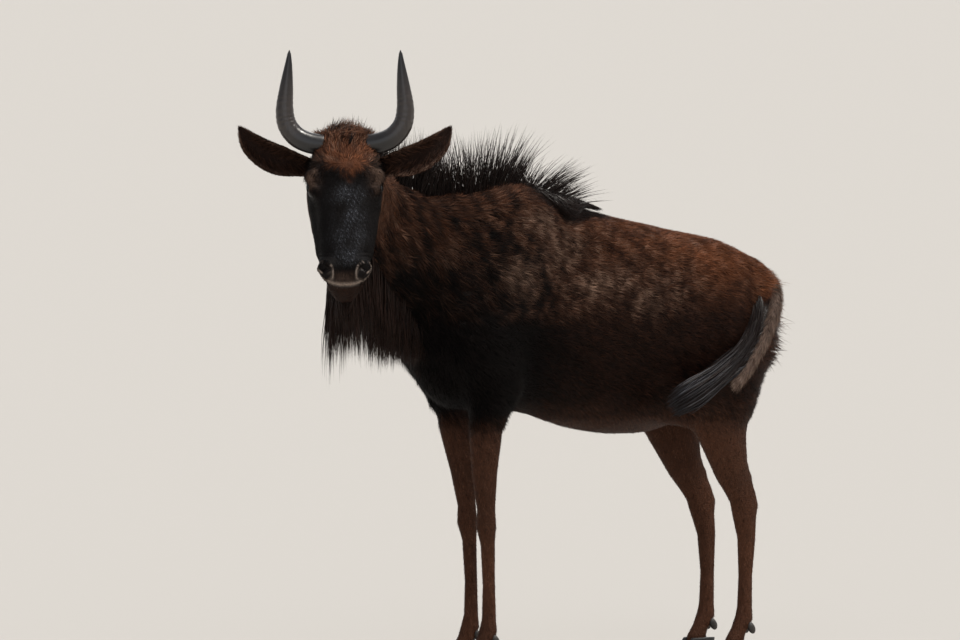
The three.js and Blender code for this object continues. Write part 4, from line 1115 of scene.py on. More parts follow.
def give_marks(mesh, marks):
    """Stores the shares of the four colours on the mesh's points."""
    layer = mesh.attributes.new("marks", "FLOAT_COLOR", "POINT")
    layer.data.foreach_set("color", np.asarray(marks, np.float32).ravel())


def give_atlas(mesh, places):
    """Stores the places in the atlas on the mesh's corners."""
    layer = mesh.uv_layers.new(name="OFBake")
    layer.data.foreach_set("uv", np.asarray(places, np.float32).ravel())


def stand(name, mesh, paint, slot, *nodes):
    """Puts a finished mesh, worked out in millimetres, into the frame as a piece."""
    mesh.vertices.foreach_set("co", ((read_points(mesh) + shift) * MM).ravel())
    mesh.materials.append(paint.material)
    mesh.update()
    piece = bpy.data.objects.new(name, mesh)
    bpy.context.scene.collection.objects.link(piece)
    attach(piece, "root")
    if nodes:
        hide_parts(*nodes)
    return piece


nostril_gap = np.linalg.norm(np.stack([np.abs(left), out, down], 1) - (41, -8, 336), axis=1)
mouth_bare = crease(above_mouth(flesh_points), 5) * step(300, 330, down)
bare = np.concatenate([np.maximum(mouth_bare, step(21, 15, nostril_gap)) * on_face,
                       np.zeros(len(skin_points) - flesh_count)])
bare = np.maximum(bare, step(24.0, 22.0, eye_gap(skin_points)))
skin_mesh.calc_loop_triangles()
triangles = read_rows(skin_mesh.loop_triangles, "vertices", 3, int)
triangle_loops = read_rows(skin_mesh.loop_triangles, "loops", 3, int)
give_marks(skin_mesh, skin_marks)
# A faint painted highlight on the skin of the nose.
give_number(skin_mesh, "painted_highlight", 0.06 * skin_painted_glint)
give_number(skin_mesh, "bare", bare)
give_atlas(skin_mesh, skin_atlas)
stand("skin", skin_mesh, skin_paint, "coat", "head", "neck", "trunk", "leg_front_left", "leg_front_right",
      "leg_hind_left", "leg_hind_right", "ear_left", "ear_right", "tail")

# Short coat: thin tufts rooted in the skin that overlap like thatch and lie along the body,
# longest on the buttocks and the neck and shortest on the face, the ears and the legs.
draw = np.random.default_rng(7)
PATCH = 0.003


def spikes(paths, widths, thickness, normals):
    """Closed three-sided spikes along paths (hair, station, xyz), the last station the tip.
    The section is a flat triangle: half widths to the sides and the thickness upwards."""
    count, stations = paths.shape[:2]
    rings = stations - 1
    along = unit(np.gradient(paths, axis=1))[:, :rings]
    side = unit(np.cross(along, normals[:, None]))
    over = np.cross(side, along)
    width, thick = widths[..., None], thickness[..., None]
    corners = np.stack([paths[:, :rings] + side * width, paths[:, :rings] + over * thick,
                        paths[:, :rings] - side * width], 2)
    points = np.concatenate([corners.reshape(count, rings * 3, 3), paths[:, -1:]], 1)
    quads = [(k * 3 + j, k * 3 + (j + 1) % 3, k * 3 + 3 + (j + 1) % 3, k * 3 + 3 + j)
             for k in range(rings - 1) for j in range(3)]
    top = (rings - 1) * 3
    ends = [(top, top + 1, top + 3), (top + 1, top + 2, top + 3), (top + 2, top, top + 3), (2, 1, 0)]
    return points, quads, ends


def hair_mesh(name, paths, widths, thickness, normals, marks, places, luck):
    """The mesh of many spikes, each with its marks (one row for each or one for all), its
    patch of the atlas and its luck, a number from 0 to 1 that sets it off from the others."""
    points, quads, ends = spikes(paths, widths, thickness, normals)
    count, size = points.shape[:2]
    start = (np.arange(count) * size)[:, None]
    faces = [(start + np.array(sorts).ravel()[None]).ravel() for sorts in (quads, ends) if sorts]
    sizes = [np.full(count * len(sorts), len(sorts[0])) for sorts in (quads, ends) if sorts]
    corner, total = np.concatenate(faces), np.concatenate(sizes)
    mesh = bpy.data.meshes.new(name)
    mesh.vertices.add(count * size)
    mesh.vertices.foreach_set("co", points.ravel())
    mesh.loops.add(len(corner))
    mesh.loops.foreach_set("vertex_index", corner)
    mesh.polygons.add(len(total))
    mesh.polygons.foreach_set("loop_start", np.cumsum(total) - total)
    mesh.update(calc_edges=True)
    mesh.polygons.foreach_set("use_smooth", np.ones(len(total), bool))
    give_marks(mesh, np.repeat(np.broadcast_to(marks, (count, 4)), size, 0))
    within = np.arange(size)
    along = (within // 3) / (paths.shape[1] - 1)
    spread = np.stack([along, within % 3 / 3], 1) * PATCH
    give_atlas(mesh, (places[:, None] + spread[None]).reshape(-1, 2)[corner])
    layer = mesh.attributes.new("hair", "FLOAT_VECTOR", "POINT")
    hair = np.stack(np.broadcast_arrays(along[None], luck[:, None], 0.0), -1)
    layer.data.foreach_set("vector", hair.astype(np.float32).ravel())
    return mesh


stalk_line = curve_through(STALK_ROUTE, np.linspace(0, 1, 60))
stalk_gap = np.min([np.linalg.norm(flesh_points - place, axis=1) for place in stalk_line], 0)
by_stalk = step(64, 30, stalk_gap)


def hair_length(points):
    """The length of the coat at each point of the flesh."""
    length = 26 + 9 * on_neck + 5 * step(-330, -470, points[:, 1]) + 4 * step(600, 530, points[:, 2])
    length = length + 22 * rump_share(points)
    length = length + (12 - length) * by_stalk
    length = length + (11 - length) * on_leg
    face = 7 + 12 * step(130, 70, down) + 5 * step(-90, -130, out)
    return (length + (face - length) * on_face) * (1 + 0.2 * waves(points, 30, 41))


other_lengths = np.where(part_of_vertex[flesh_count:] == TAIL_PART, 26.0, 9.0)
lengths = np.concatenate([hair_length(flesh_points), other_lengths])
short = np.clip((26 - lengths) / 18, 0, 1)
half_widths = 1.35 - 0.75 * short
half_widths[part_of_vertex == TAIL_PART] = 0.8
standing = np.concatenate([rump_share(flesh_points) * (1 - by_stalk), 0.25 * (other_lengths > 15)])
bare = np.maximum(bare, step(40, 36, skin_points[:, 2]))
corners3 = skin_points[triangles]
areas = np.linalg.norm(np.cross(corners3[:, 1] - corners3[:, 0], corners3[:, 2] - corners3[:, 0]), axis=1) / 2
wanted = (1 - bare[triangles].mean(1)) / (lengths * half_widths)[triangles].mean(1)
triangle_part = part_of_vertex[triangles[:, 0]]
middle = corners3.mean(1)


def plant(chosen, count):
    """Roots on the chosen triangles: spread evenly by area and wanted density, at random places
    within each triangle. Returns the triangles and their corner shares."""
    weight = np.cumsum(areas * wanted * chosen)
    ticks = (np.arange(count) + draw.random(count)) / count * weight[-1]
    triangle = np.searchsorted(weight, ticks)
    a, b = np.sqrt(draw.random(count)), draw.random(count)
    return triangle, np.stack([1 - a, a * (1 - b), a * b], 1)


coat_paint = Paint("coat", roughness=0.46, gloss=0.08)
along_hair, hair_luck = hair_facts(coat_paint)
coat_paint.set(Base_Color=coat_colour(coat_paint, (0.45 + 0.85 * along_hair) * (0.24 + 1.5 * hair_luck)))

body_like = triangle_part == BODY_PART
neck_line = middle[:, 1] < -330 - 0.5 * (middle[:, 2] - 900)
left_side = middle[:, 0] > 0
rear = middle[:, 1] > 130
REGIONS = [  # piece, its triangles, number of tufts
    ("coat_head", triangle_part == HEAD_PART, 36000),
    ("coat_ears", np.isin(triangle_part, EAR_PARTS), 9000),
    ("coat_tail", triangle_part == TAIL_PART, 7000),
    ("coat_neck", body_like & neck_line, 42000),
    ("coat_shoulder_left", body_like & ~neck_line & left_side & ~rear, 40000),
    ("coat_shoulder_right", body_like & ~neck_line & ~left_side & ~rear, 36000),
    ("coat_rump_left", body_like & left_side & rear, 40000),
    ("coat_rump_right", body_like & ~left_side & rear, 36000),
    ("coat_forelegs", np.isin(triangle_part, (LEG_PARTS[0], LEG_PARTS[2])), 15000),
    ("coat_hind_legs", np.isin(triangle_part, (LEG_PARTS[1], LEG_PARTS[3])), 15000),
]
for region, chosen, count in REGIONS:
    triangle, share = plant(chosen, count)

    def at_root(values):
        """The values of the three corners mixed by their shares."""
        return np.einsum("nc,nc...->n...", share, values[triangles[triangle]])

    root, normal = at_root(skin_points), unit(at_root(skin_normals))
    lie = laid(at_root(skin_lies) + 0.20 * draw.normal(size=(count, 3)), normal)
    length = at_root(lengths) * draw.uniform(0.65, 1.15, count)
    length = (length * (1 + 0.5 * at_root(standing) * (draw.random(count) < 0.12)))[:, None, None]
    width = at_root(half_widths) * draw.uniform(0.7, 1.2, count)
    lift = 0.15 + 0.10 * draw.random((count, 1, 1)) + 0.45 * at_root(standing)[:, None, None]
    t = np.array([0.0, 1.0])[None, :, None]
    paths = (root - 1.2 * normal)[:, None] + length * (
        t * lie[:, None] + (lift * np.sin(math.pi * 0.62 * t)) * normal[:, None])
    paths = paths + normal[:, None] * 0.8 * t
    grain = waves(root * (1.0, 1.0, 0.5), 10, 44)
    marks, dice = np.clip(at_root(skin_marks), 0, 1), draw.uniform(-1, 1, (count, 4))
    marks = marks + 0.9 * np.sqrt(marks * (1 - marks)) * (0.5 * dice + (0, 0, 1.1, 0) * grain[:, None])
    luck = np.clip(0.5 + 0.48 * grain + 0.28 * draw.uniform(-1, 1, count), 0, 1)
    mesh = hair_mesh(region, paths, width[:, None], width[:, None] * 0.45, normal, np.clip(marks, 0, 1),
                     np.einsum("nc,ncd->nd", share, skin_atlas[triangle_loops[triangle]]), luck)
    if region == "coat_head":
        # The painted highlight on the nose, broken into flecks tuft by tuft.
        flecks = 0.30 + 1.4 * waves(root * (1.0, 1.0, 0.6), 6, 38) + 0.6 * draw.uniform(-1, 1, count)
        painted_highlight = np.clip(at_root(skin_painted_glint) * flecks, 0, 1)
        give_number(mesh, "painted_highlight", np.repeat(painted_highlight, 4))
    stand(region, mesh, coat_paint, "coat")

EVERY_FOURTH = slice(None, None, 4)
near_skin = KDTree(len(middle[EVERY_FOURTH]))
for n, place in enumerate(middle[EVERY_FOURTH]):
    near_skin.insert(place, n)
near_skin.balance()
triangle_places = skin_atlas[triangle_loops[EVERY_FOURTH]].mean(1)


def places_near(roots):
    """The atlas place of the skin nearest to each root."""
    return triangle_places[[near_skin.find(root)[1] for root in roots]]


# Eyes: dark glossy balls set deep under the lids, brown with a long level pupil that is
# hardly darker, and a clear wet surface.
IRIS = (0.030, 0.013, 0.006, 1.0)
PUPIL = (0.002, 0.002, 0.003, 1.0)
BALL_RINGS, BALL_SIDES = 40, 48


eye_paint = Paint("eye", roughness=0.06, gloss=0.5)
eye_paint.shader.inputs["Coat Weight"].default_value = 0.2
eye_paint.shader.inputs["Coat Roughness"].default_value = 0.02
eye_paint.set(Base_Color=eye_paint.mixed(eye_paint.read("share"), IRIS, PUPIL))
for side, side_name in SIDES:
    gaze, slant, across = gazes[side_name]
    polar = np.linspace(0.04, math.pi - 0.04, BALL_RINGS)[:, None]
    turn = turns(BALL_SIDES)[None]
    radius = EYE_RADIUS + 0.5 * step(0.75, 0.2, polar)
    level, upright = np.sin(polar) * np.cos(turn), np.sin(polar) * np.sin(turn)
    ball = ((np.cos(polar) + 0 * turn)[..., None] * gaze + level[..., None] * slant
            + upright[..., None] * across)
    rings = eye_centre(side) + radius[..., None] * ball
    mesh = solid_mesh("eyeball_" + side_name, rings)
    pupil = step(1.15, 0.85, np.hypot(level / 0.42, upright / 0.24)) * (polar < 1.2)
    rim = step(0.62, 0.80, np.sin(polar) + 0 * turn)
    give_number(mesh, "share", np.concatenate([np.maximum(pupil, rim).ravel(), [1, 1]]))
    stand("eyeball_" + side_name, mesh, eye_paint, "eye", "eye_" + side_name)

# Lashes: stiff black hairs along the upper lid, that stand out and bend down over the eye.
LASHES = 90
LASH_BLACK = (1.0, 0.0, 0.0, 0.0)
LID_EDGE, LID_HALF_LENGTH, LID_HALF_HEIGHT = 20.6, 14.0, 8.6
for side, side_name in SIDES:
    gaze, slant, across = gazes[side_name]
    above = across * np.sign(across @ UP)
    turn = draw.uniform(0.12, 0.88, LASHES)[:, None] * math.pi
    along, high = LID_HALF_LENGTH * np.cos(turn), LID_HALF_HEIGHT * np.sin(turn)
    lid = np.sqrt(LID_EDGE**2 - along**2 - high**2)
    root = eye_centre(side) + along * slant + high * above + lid * gaze
    t = np.linspace(0, 1, 4)[None, :, None]
    length = draw.uniform(8, 13, (LASHES, 1, 1))
    heading = unit(gaze + 0.15 * above + 0.02 * along * slant + 0.1 * draw.normal(size=(LASHES, 3)))
    paths = root[:, None] + length * (heading[:, None] * t - UP * 0.45 * t**2)
    width = np.full((LASHES, 3), 0.32)
    mesh = hair_mesh("lashes_" + side_name, paths, width, width * 0.8, UP[None], LASH_BLACK,
                     places_near(root), draw.random(LASHES))
    stand("lashes_" + side_name, mesh, coat_paint, "coat")

# Horns: short, out from the sides of the poll and then straight up, of dark polished
# keratin with faint rings about halfway and fine streaks along them.
HORN_ROUTE = [(52, -24, -32), (84, -22, -26), (112, -24, -12), (132, -27, 14), (138, -30, 48),
              (134, -35, 98), (129, -41, 150), (127, -45, 184)]
HORN_BASE, HORN_TIP = 24.5, 3.0
HORN_STEPS, HORN_SIDES, TIP_RINGS = 230, 56, 8
RING_RATE = 130
HORN_DARK = (0.0055, 0.0042, 0.0038, 1.0)
HORN_WORN = (0.034, 0.025, 0.021, 1.0)

horn_paint = Paint("horn", roughness=0.34, gloss=0.6)
streaks = horn_paint.noise(60.0, 5.0, (3.0, 3.0, 0.25))
horn_paint.set(
    Base_Color=horn_paint.mixed(horn_paint.read("share") * (0.35 + 1.1 * streaks), HORN_DARK, HORN_WORN),
    Roughness=0.26 + 0.14 * streaks,
    Normal=horn_paint.bump(streaks * horn_paint.read("share"), 0.0010))
for side, side_name in SIDES:
    t = np.linspace(0, 1, HORN_STEPS)
    centre = curve_through(poll_route(HORN_ROUTE, side), t)
    along = unit(np.gradient(centre, axis=0))
    fore = unit(head_forward - along * (along @ head_forward)[:, None])
    beside = np.cross(along, fore)
    turn = turns(HORN_SIDES)[None]
    radius = HORN_TIP + (HORN_BASE - HORN_TIP) * (1 - t**2.4)
    growth = 0.30 * np.sin(t * RING_RATE + 1.6 * np.sin(t * 31)) * step(0.75, 0.48, t) * step(0.24, 0.40, t)
    radius = (radius + growth - 0.4)[:, None] * (1 + 0.012 * np.cos(5 * turn + 9 * t[:, None]))
    radius[-TIP_RINGS:] *= np.sqrt(np.linspace(1, 0.05, TIP_RINGS))[:, None]
    rings = centre[:, None] + (fore[:, None] * np.cos(turn)[..., None]
                               + beside[:, None] * np.sin(turn)[..., None]) * radius[..., None]
    mesh = solid_mesh("horn_sheath_" + side_name, rings)
    worn = step(0.12, 0.35, t) * step(0.95, 0.55, t) * (0.92 + 0.08 * np.sin(t * RING_RATE))
    worn = worn[:, None] + 0 * turn
    give_number(mesh, "share", np.concatenate([worn.ravel(), [0, 0]]))
    stand("horn_sheath_" + side_name, mesh, horn_paint, "horn", "horn_" + side_name)

# Long hair: mane, beard and the tail's switch are black locks that start apart at their
# roots and draw together towards their tips, each lock a stiff or a soft tapering strand.
LONG_BLACK = (0.86, 0.10, 0.05, 0.0)
long_paint = Paint("long_hair", roughness=0.38, gloss=0.20)
along_hair, hair_luck = hair_facts(long_paint)
long_paint.set(Base_Color=coat_colour(long_paint, (0.75 + 0.35 * along_hair) * (0.65 + 0.7 * hair_luck)))


def table_at(rows, stations):
    """The rows' values at stations counted in rows."""
    return read_table([(n, *row) for n, row in enumerate(rows)], stations)


def spread_along(rows, count):
    """Random stations along a table's rows, even by the length of the line of roots."""
    stations = np.linspace(0, len(rows) - 1, 400)
    steps = np.linalg.norm(np.diff(table_at(rows, stations)[:, :3], axis=0), axis=1)
    lengths_along = np.concatenate([[0], np.cumsum(steps)])
    return np.interp(draw.random(count) * lengths_along[-1], lengths_along, stations)


def locks(name, paths, half_width, marks, *nodes, paint=long_paint, slot="long_hair"):
    """A piece of long hair: a tapering strand along each path."""
    count, stations = paths.shape[:2]
    taper = np.linspace(1.0, 0.45, stations - 1)[None] * half_width[:, None]
    turn = draw.random(count) * 2 * math.pi
    normals = np.stack([np.cos(turn), np.sin(turn), 0.2 * np.ones(count)], 1)
    mesh = hair_mesh(name, paths, taper, taper * 0.7, normals, marks, places_near(paths[:, 0]),
                     draw.random(count))
    return stand(name, mesh, paint, slot, *nodes)


def gathered(stations, spacing, share):
    """For each hair's station, that of the middle of its lock, and one random number a lock."""
    lock = np.round(stations / spacing + draw.normal(0, 0.25, len(stations))).astype(int)
    lucks = draw.random(lock.max() + 2)
    return stations + (lock * spacing - stations) * share, lucks[lock]


# Mane: a fan of stiff upright hair from between the horns to behind the withers, where it
# lies back and over towards the near side.
forelock_root, nape_root = by_poll(0, 0, -22), by_poll(0, -62, -34)
MANE_ROWS = [  # root x, y, z, length, lean back from upright, half thickness
    (*forelock_root, 40, 12, 24), (*nape_root, 80, 4, 22), (62, -650, 1134, 142, 0, 14),
    (28, -530, 1082, 180, -4, 14), (6, -400, 1070, 214, -4, 16), (8, -300, 1070, 226, 6, 18),
    (12, -200, 1074, 180, 30, 20), (12, -120, 1048, 128, 60, 20), (8, -50, 1032, 60, 76, 18),
    (2, 20, 1018, 30, 80, 12),
]
MANE_HAIRS = 4900
DRAPE_HAIRS = 1900
t = np.linspace(0, 1, 5)[None, :, None]
at = spread_along(MANE_ROWS, MANE_HAIRS)
at = at[draw.random(MANE_HAIRS) > 0.45 * step(5.6, 7.2, at)]
count = len(at)
lock_at, lock_luck = gathered(at, 0.30, 0.66)
x, y, z, length, lean, thick = table_at(MANE_ROWS, at).T
tip_place = table_at(MANE_ROWS, np.clip(lock_at, 0, len(MANE_ROWS) - 1))[:, :3]
apart = draw.uniform(-1, 1, count)
length = length * (0.30 + 0.34 * lock_luck + 0.42 * draw.random(count) ** 1.5)
lean = np.radians(lean + draw.normal(0, 6, count) + 20 * (lock_luck - 0.5))
heading = unit(np.stack([0.20 * apart, np.sin(lean), np.cos(lean)], 1))
root = np.stack([x + apart * thick * 0.8, y, z - 6], 1)
paths = root[:, None] + heading[:, None] * (length[:, None, None] * t)
paths = paths + (tip_place - np.stack([x, y, z], 1))[:, None] * t**1.5
bend = (0.05 + 0.28 * np.sin(lean))[:, None, None] + 0.10 * draw.normal(size=(count, 1, 1))
paths = paths + np.array([0.0, 1.0, -0.3]) * (bend * length[:, None, None] * t**2)
mane_paths = paths + draw.normal(0, 2.4, (count, 1, 3)) * t
start = draw.uniform(-235, -40, DRAPE_HAIRS)
reach = draw.uniform(60, 140, DRAPE_HAIRS) * (0.6 + 0.4 * step(-40, -120, start))
y = start[:, None] + reach[:, None] * t[..., 0]
to_side = np.where(draw.random(DRAPE_HAIRS) < 0.85, 1, -0.5) * draw.random(DRAPE_HAIRS) ** 0.6
x = to_side[:, None] * (8 + 72 * crease(y + 98, 64) * np.sqrt(t[..., 0]))
off_skin = 3 + draw.random((DRAPE_HAIRS, 1)) * (13 - 8 * t[..., 0])
z = back_height(y) - 0.0094 * x**2 + off_skin
x = x + off_skin * x / 90
drape_paths = np.stack([x, y, z], -1) + draw.normal(0, 1.5, (DRAPE_HAIRS, 1, 3)) * t
paths = np.concatenate([mane_paths, drape_paths])
locks("mane_hair", paths, draw.uniform(0.6, 1.6, len(paths)), LONG_BLACK, "mane")

# Beard: long soft hair under the chin and jaw, down the throat to the breast, in wisps of
# uneven length.
chin_root, jaw_root, gullet_root = on_head(0, -86, 345), on_head(0, -104, 262), on_head(0, -122, 190)
BEARD_ROWS = [  # root x, y, z, length, half width at the root and at the tips
    (*chin_root, 70, 22, 12), (*jaw_root, 252, 30, 42), (*gullet_root, 322, 32, 50),
    (66, -650, 950, 262, 32, 34), (34, -550, 860, 165, 34, 28), (12, -480, 790, 100, 34, 24),
    (2, -456, 720, 60, 30, 18),
]
BEARD_HAIRS = 4900
BEARD_BLACK = (0.78, 0.22, 0.0, 0.0)
t = np.linspace(0, 1, 5)[None, :, None]
at = spread_along(BEARD_ROWS, BEARD_HAIRS)
lock_at, lock_luck = gathered(at, 0.15, 0.75)
x, y, z, length, wide_root, wide_tip = table_at(BEARD_ROWS, at).T
tip_place = table_at(BEARD_ROWS, np.clip(lock_at, 0, len(BEARD_ROWS) - 1))[:, :2]
apart = draw.uniform(-1, 1, BEARD_HAIRS)
length = length * (0.56 + 0.30 * lock_luck + 0.22 * draw.random(BEARD_HAIRS)) * (1 - 0.14 * apart**2)
length = length * (1 + 0.30 * step(-0.35, -0.8, apart) * step(3.2, 2.0, at) * step(0.5, 1.0, at))
aside = 0.8 * head_left + 0.2 * SIDEWAYS
paths = np.stack([x, y, z], 1)[:, None] - UP * (length[:, None, None] * t)
wide = wide_root[:, None, None] * (1 - t) + wide_tip[:, None, None] * t
paths = paths + aside * (apart[:, None, None] * wide)
paths[..., :2] += (tip_place - np.stack([x, y], 1))[:, None] * t**1.3
sway = draw.normal(0, 1, (BEARD_HAIRS, 1, 3)) * (1, 1, 0.2)
paths = paths + sway * (4.0 * t + 3.0 * np.sin(math.pi * 1.4 * t + 6 * lock_luck[:, None, None]))
locks("beard_hair", paths, draw.uniform(0.8, 1.9, BEARD_HAIRS), BEARD_BLACK, "beard")

# Switch: the tail's long black hair leaves the stalk's front all along, hangs beside it and
# sweeps forward over the thigh in one flat tuft.
SWITCH_ROUTE = [(62, 426, 892), (104, 404, 858), (143, 378, 808), (160, 352, 758), (172, 316, 716),
                (182, 242, 664), (188, 164, 622), (192, 90, 590)]
SWITCH_WIDTHS = [(0, 4, 6), (0.08, 11, 9), (0.2, 17, 12), (0.37, 21, 13), (0.5, 23, 14), (0.68, 30, 16),
                 (0.85, 38, 16), (1, 30, 10)]
SWITCH_HAIRS = 2800
STRAND = 7
ROUTE_STEPS = 200
t = np.linspace(0, 1, STRAND)[None]
start = 0.64 * draw.random(SWITCH_HAIRS)[:, None] ** 1.1
reach = start + 0.30 + 0.30 * draw.random((SWITCH_HAIRS, 1))
reach = np.minimum(reach, 0.90 + 0.10 * draw.random((SWITCH_HAIRS, 1)))
station = start + (reach - start) * t
centre = curve_through(SWITCH_ROUTE, station.ravel()).reshape(SWITCH_HAIRS, STRAND, 3)
forward_way = unit(np.gradient(curve_through(SWITCH_ROUTE, np.linspace(0, 1, ROUTE_STEPS)), axis=0))
way = forward_way[(station * (ROUTE_STEPS - 1)).astype(int)]
flat_way = unit(SIDEWAYS - way * (way @ SIDEWAYS)[..., None])
broad = np.cross(way, flat_way)
width, depth = np.moveaxis(read_table(SWITCH_WIDTHS, station), -1, 0)
round_at = draw.random((SWITCH_HAIRS, 1)) * 2 * math.pi
from_middle = np.sqrt(draw.random((SWITCH_HAIRS, 1)))
gather = 1.0 - 0.35 * t * (draw.random((SWITCH_HAIRS, 1)) > 0.4)
paths = centre + broad * (np.cos(round_at) * from_middle * width * gather)[..., None]
paths = paths + flat_way * (np.sin(round_at) * from_middle * depth * gather)[..., None]
paths = paths + draw.normal(0, 1, (SWITCH_HAIRS, 1, 3)) * (2.5 * t**1.5)[..., None]
stalk_root = curve_through(STALK_ROUTE, 0.10 + 1.2 * start[:, 0]) + draw.normal(0, 3.5, (SWITCH_HAIRS, 3))
from_stalk = (np.clip(1 - t / 0.42, 0, 1) ** 1.5 * step(0.04, 0.26, start))[..., None]
paths = paths + (stalk_root[:, None] - paths) * from_stalk
switch = locks("tail_switch", paths, draw.uniform(1.1, 2.2, SWITCH_HAIRS), LONG_BLACK, "tail_hair")
# Painted highlights: bluish sky reflections painted on the switch's hairs, mostly towards its lower end.
low_end = step(0.35, 0.85, np.repeat(station, 3, 1)[:, :3 * STRAND - 2])
painted_highlight = 0.26 * draw.random((SWITCH_HAIRS, 1)) ** 2 * (0.12 + 0.88 * low_end)
give_number(switch.data, "painted_highlight", painted_highlight.ravel())

# Forelock and ear fringes: dark rufous hair that stands up between the horns, and soft hair
# along the rims and across the mouths of the ears, darkened as painted shade.
FORELOCK_HAIRS = 2300
FRINGE_HAIRS, FRINGE_HALF_WIDTH = 420, 0.7
# The fringe hair is darkened as painted shade in the mouths of the ears.
FRINGE_MARKS = (0.62, 0.40, 0.18, 0.0)
t = np.linspace(0, 1, 4)[None, :, None]
apart, down_way = draw.uniform(-1, 1, FORELOCK_HAIRS), draw.uniform(-8, 52, FORELOCK_HAIRS)
depth = -6 - 22 * apart**2 - 10 * step(20, -6, down_way)
root = POLL + np.stack([62 * apart, depth, down_way], 1) @ head_axes
tuft = crease(apart - 0.05, 0.34) * step(10, -4, down_way)
whorl = waves(root, 40, 46)[:, None]
heading = unit(-face_down + 0.45 * face_out + (0.5 * apart[:, None] + 0.4 * whorl) * head_left
               - 0.9 * face_out * tuft[:, None] + 0.25 * draw.normal(size=(FORELOCK_HAIRS, 3)))
length = (draw.uniform(14, 26, FORELOCK_HAIRS) + 26 * tuft * draw.random(FORELOCK_HAIRS))[:, None, None]
sag = (0.40 - 0.3 * tuft)[:, None, None] * length * t**2
paths = root[:, None] + heading[:, None] * length * t - face_out * sag
dark = 0.75 * tuft + 0.25 * step(0.2, 0.8, -whorl[:, 0]) + draw.uniform(0, 0.1, FORELOCK_HAIRS)
forelock_marks = np.stack([dark, draw.uniform(0.6, 1.0, FORELOCK_HAIRS),
                           draw.uniform(0.1, 0.7, FORELOCK_HAIRS), np.zeros(FORELOCK_HAIRS)], 1)
locks("forelock", paths, draw.uniform(0.7, 1.3, FORELOCK_HAIRS), np.clip(forelock_marks, 0, 1),
      paint=coat_paint, slot="coat")
for side, side_name in SIDES:
    route = poll_route(EAR_SPINE, side)
    at = draw.uniform(0.04, 0.80, FRINGE_HAIRS)
    spine_at = curve_through(route, at)
    along = unit(curve_through(route, at + 0.01) - spine_at)
    across = unit(np.cross(along, head_forward))
    rim = np.where(draw.random(FRINGE_HAIRS) < 0.5, -1, 1) * draw.uniform(0.45, 0.98, FRINGE_HAIRS)
    width = read_table(EAR_WIDTHS, at)[:, 0]
    cup = ear_cup(at, width, rim) + 1.0
    root = spine_at + across * (width * rim)[:, None] + head_forward * cup[:, None]
    inward = -np.sign(rim)[:, None] * across
    heading = unit(0.9 * along + 0.75 * inward + 0.25 * head_forward
                   + 0.2 * draw.normal(size=(FRINGE_HAIRS, 3)))
    length = (draw.uniform(12, 30, FRINGE_HAIRS) * (1.1 - 0.6 * at))[:, None, None]
    paths = root[:, None] + heading[:, None] * length * t + along[:, None] * (0.15 * length * t**2)
    locks("ear_fringe_" + side_name, paths, np.full(FRINGE_HAIRS, FRINGE_HALF_WIDTH), FRINGE_MARKS,
          paint=coat_paint, slot="coat")

# Hooves: two black claws on each foot with a flat sole and faint growth rings, and two
# small dew claws behind the fetlock.
CLAW_LENGTH, CLAW_HALF_WIDTH, CLEFT_HALF = 84, 15, 1.2
CORONET_Z = 37.8
CLAW_PROFILE = [(0, 1, 0), (4, 1.03, 0), (20, 0.9, 9), (CORONET_Z, 0.76, 17)]
CLAW_LEVELS, CLAW_SIDES = 40, 64
DEW_HALVES, DEW_HEIGHT, DEW_LEAN, DEW_SHARE = (8, 9, 15), 68, 0.5, 0.4
HOOF_BLACK = (0.012, 0.011, 0.011, 1.0)
HOOF_WORN = (0.075, 0.062, 0.050, 1.0)

hoof_paint = Paint("hoof", roughness=0.42, gloss=0.45)
scuff = hoof_paint.noise(45.0, 5.0, (1.0, 1.0, 0.3))
growth_rings = hoof_paint.noise(14.0, 2.0, (0.4, 0.4, 22.0))
hoof_paint.set(
    Base_Color=hoof_paint.mixed(hoof_paint.read("share") * (0.3 + 1.0 * scuff), HOOF_BLACK, HOOF_WORN),
    Roughness=0.34 + 0.3 * scuff,
    Normal=hoof_paint.bump(growth_rings * 0.6 + scuff * 0.4, 0.0016))


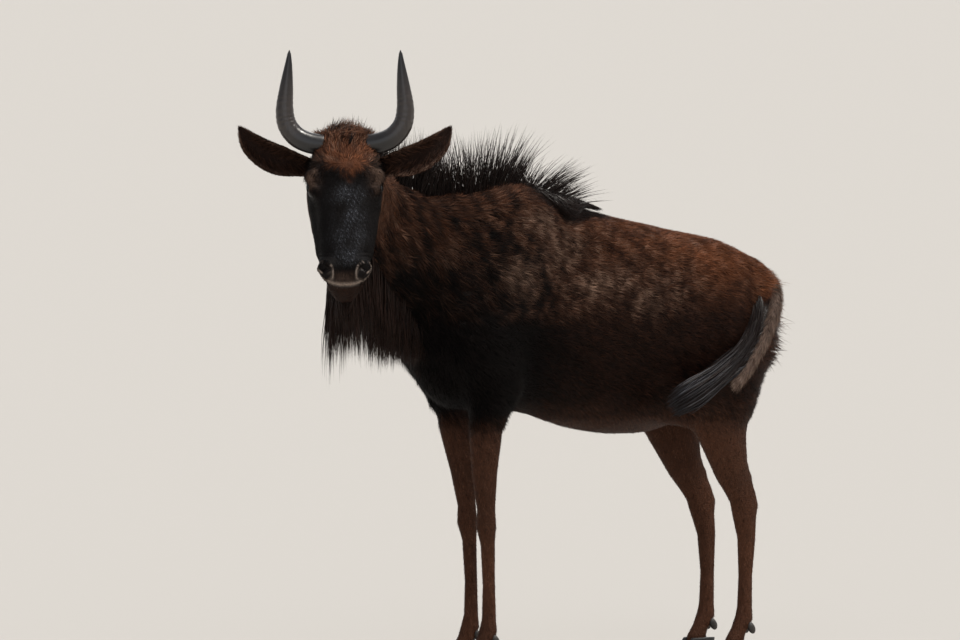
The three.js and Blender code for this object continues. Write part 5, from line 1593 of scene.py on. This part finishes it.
def claw_rings(side, heel, centre):
    """Rings up a claw: an oval, blunt at the heel and narrow at the toe, which shrinks and
    moves back from the sole to the coronet."""
    z = np.concatenate([[0, 0.4, 1.2], np.linspace(2.5, CORONET_Z, CLAW_LEVELS - 3)])[:, None]
    scale, back = np.moveaxis(read_table(CLAW_PROFILE, z[:, 0]), -1, 0)[..., None]
    scale = scale * np.where(z < 2.5, 0.985 + 0.006 * z, 1.0) * (1 + 0.006 * np.sin(z * 1.5) * step(4, 12, z))
    angle = turns(CLAW_SIDES)[None]
    narrow = 1 - 0.3 * np.clip(-np.cos(angle), 0, 1)
    x = np.maximum(CLEFT_HALF + CLAW_HALF_WIDTH * (1 + np.sin(angle) * narrow * scale), CLEFT_HALF)
    y = heel - CLAW_LENGTH / 2 + CLAW_LENGTH / 2 * np.cos(angle) * scale + back
    return np.stack([centre + side * x, y, z + 0 * angle], -1), z + 0 * angle


polar, turn = np.linspace(0.12, math.pi - 0.12, 16)[:, None], turns(24)[None]
dew_claw = np.stack([np.sin(polar) * np.cos(turn), np.sin(polar) * np.sin(turn),
                     np.cos(polar) + 0 * turn], -1) * DEW_HALVES
dew_claw = dew_claw @ np.array([[1, 0, 0], [0, math.cos(DEW_LEAN), math.sin(DEW_LEAN)],
                                [0, -math.sin(DEW_LEAN), math.cos(DEW_LEAN)]])
for side, side_name in SIDES:
    lag = RIGHT_FORELEG_LAG if side < 0 else 0
    for row, foot_y in (("front", FORE_FOOT_Y + lag), ("hind", HIND_FOOT_Y - 2)):
        for claw_name, claw_side in (("outer", side), ("inner", -side)):
            rings, level = claw_rings(claw_side, foot_y + 4, side * FOOT_SPREAD)
            ending = f"{row}_{side_name}_{claw_name}"
            mesh = solid_mesh("claw_" + ending, rings)
            give_number(mesh, "share", np.concatenate([step(30, 0, level).ravel(), [1, 0]]))
            stand("claw_" + ending, mesh, hoof_paint, "hoof", "hoof_" + ending)
            rings = dew_claw + (side * FOOT_SPREAD + claw_side * 13, foot_y + 10, DEW_HEIGHT)
            mesh = solid_mesh("dew_" + ending, rings)
            give_number(mesh, "share", np.full(len(mesh.vertices), DEW_SHARE))
            stand("dew_" + ending, mesh, hoof_paint, "hoof", "dewclaw_" + ending)
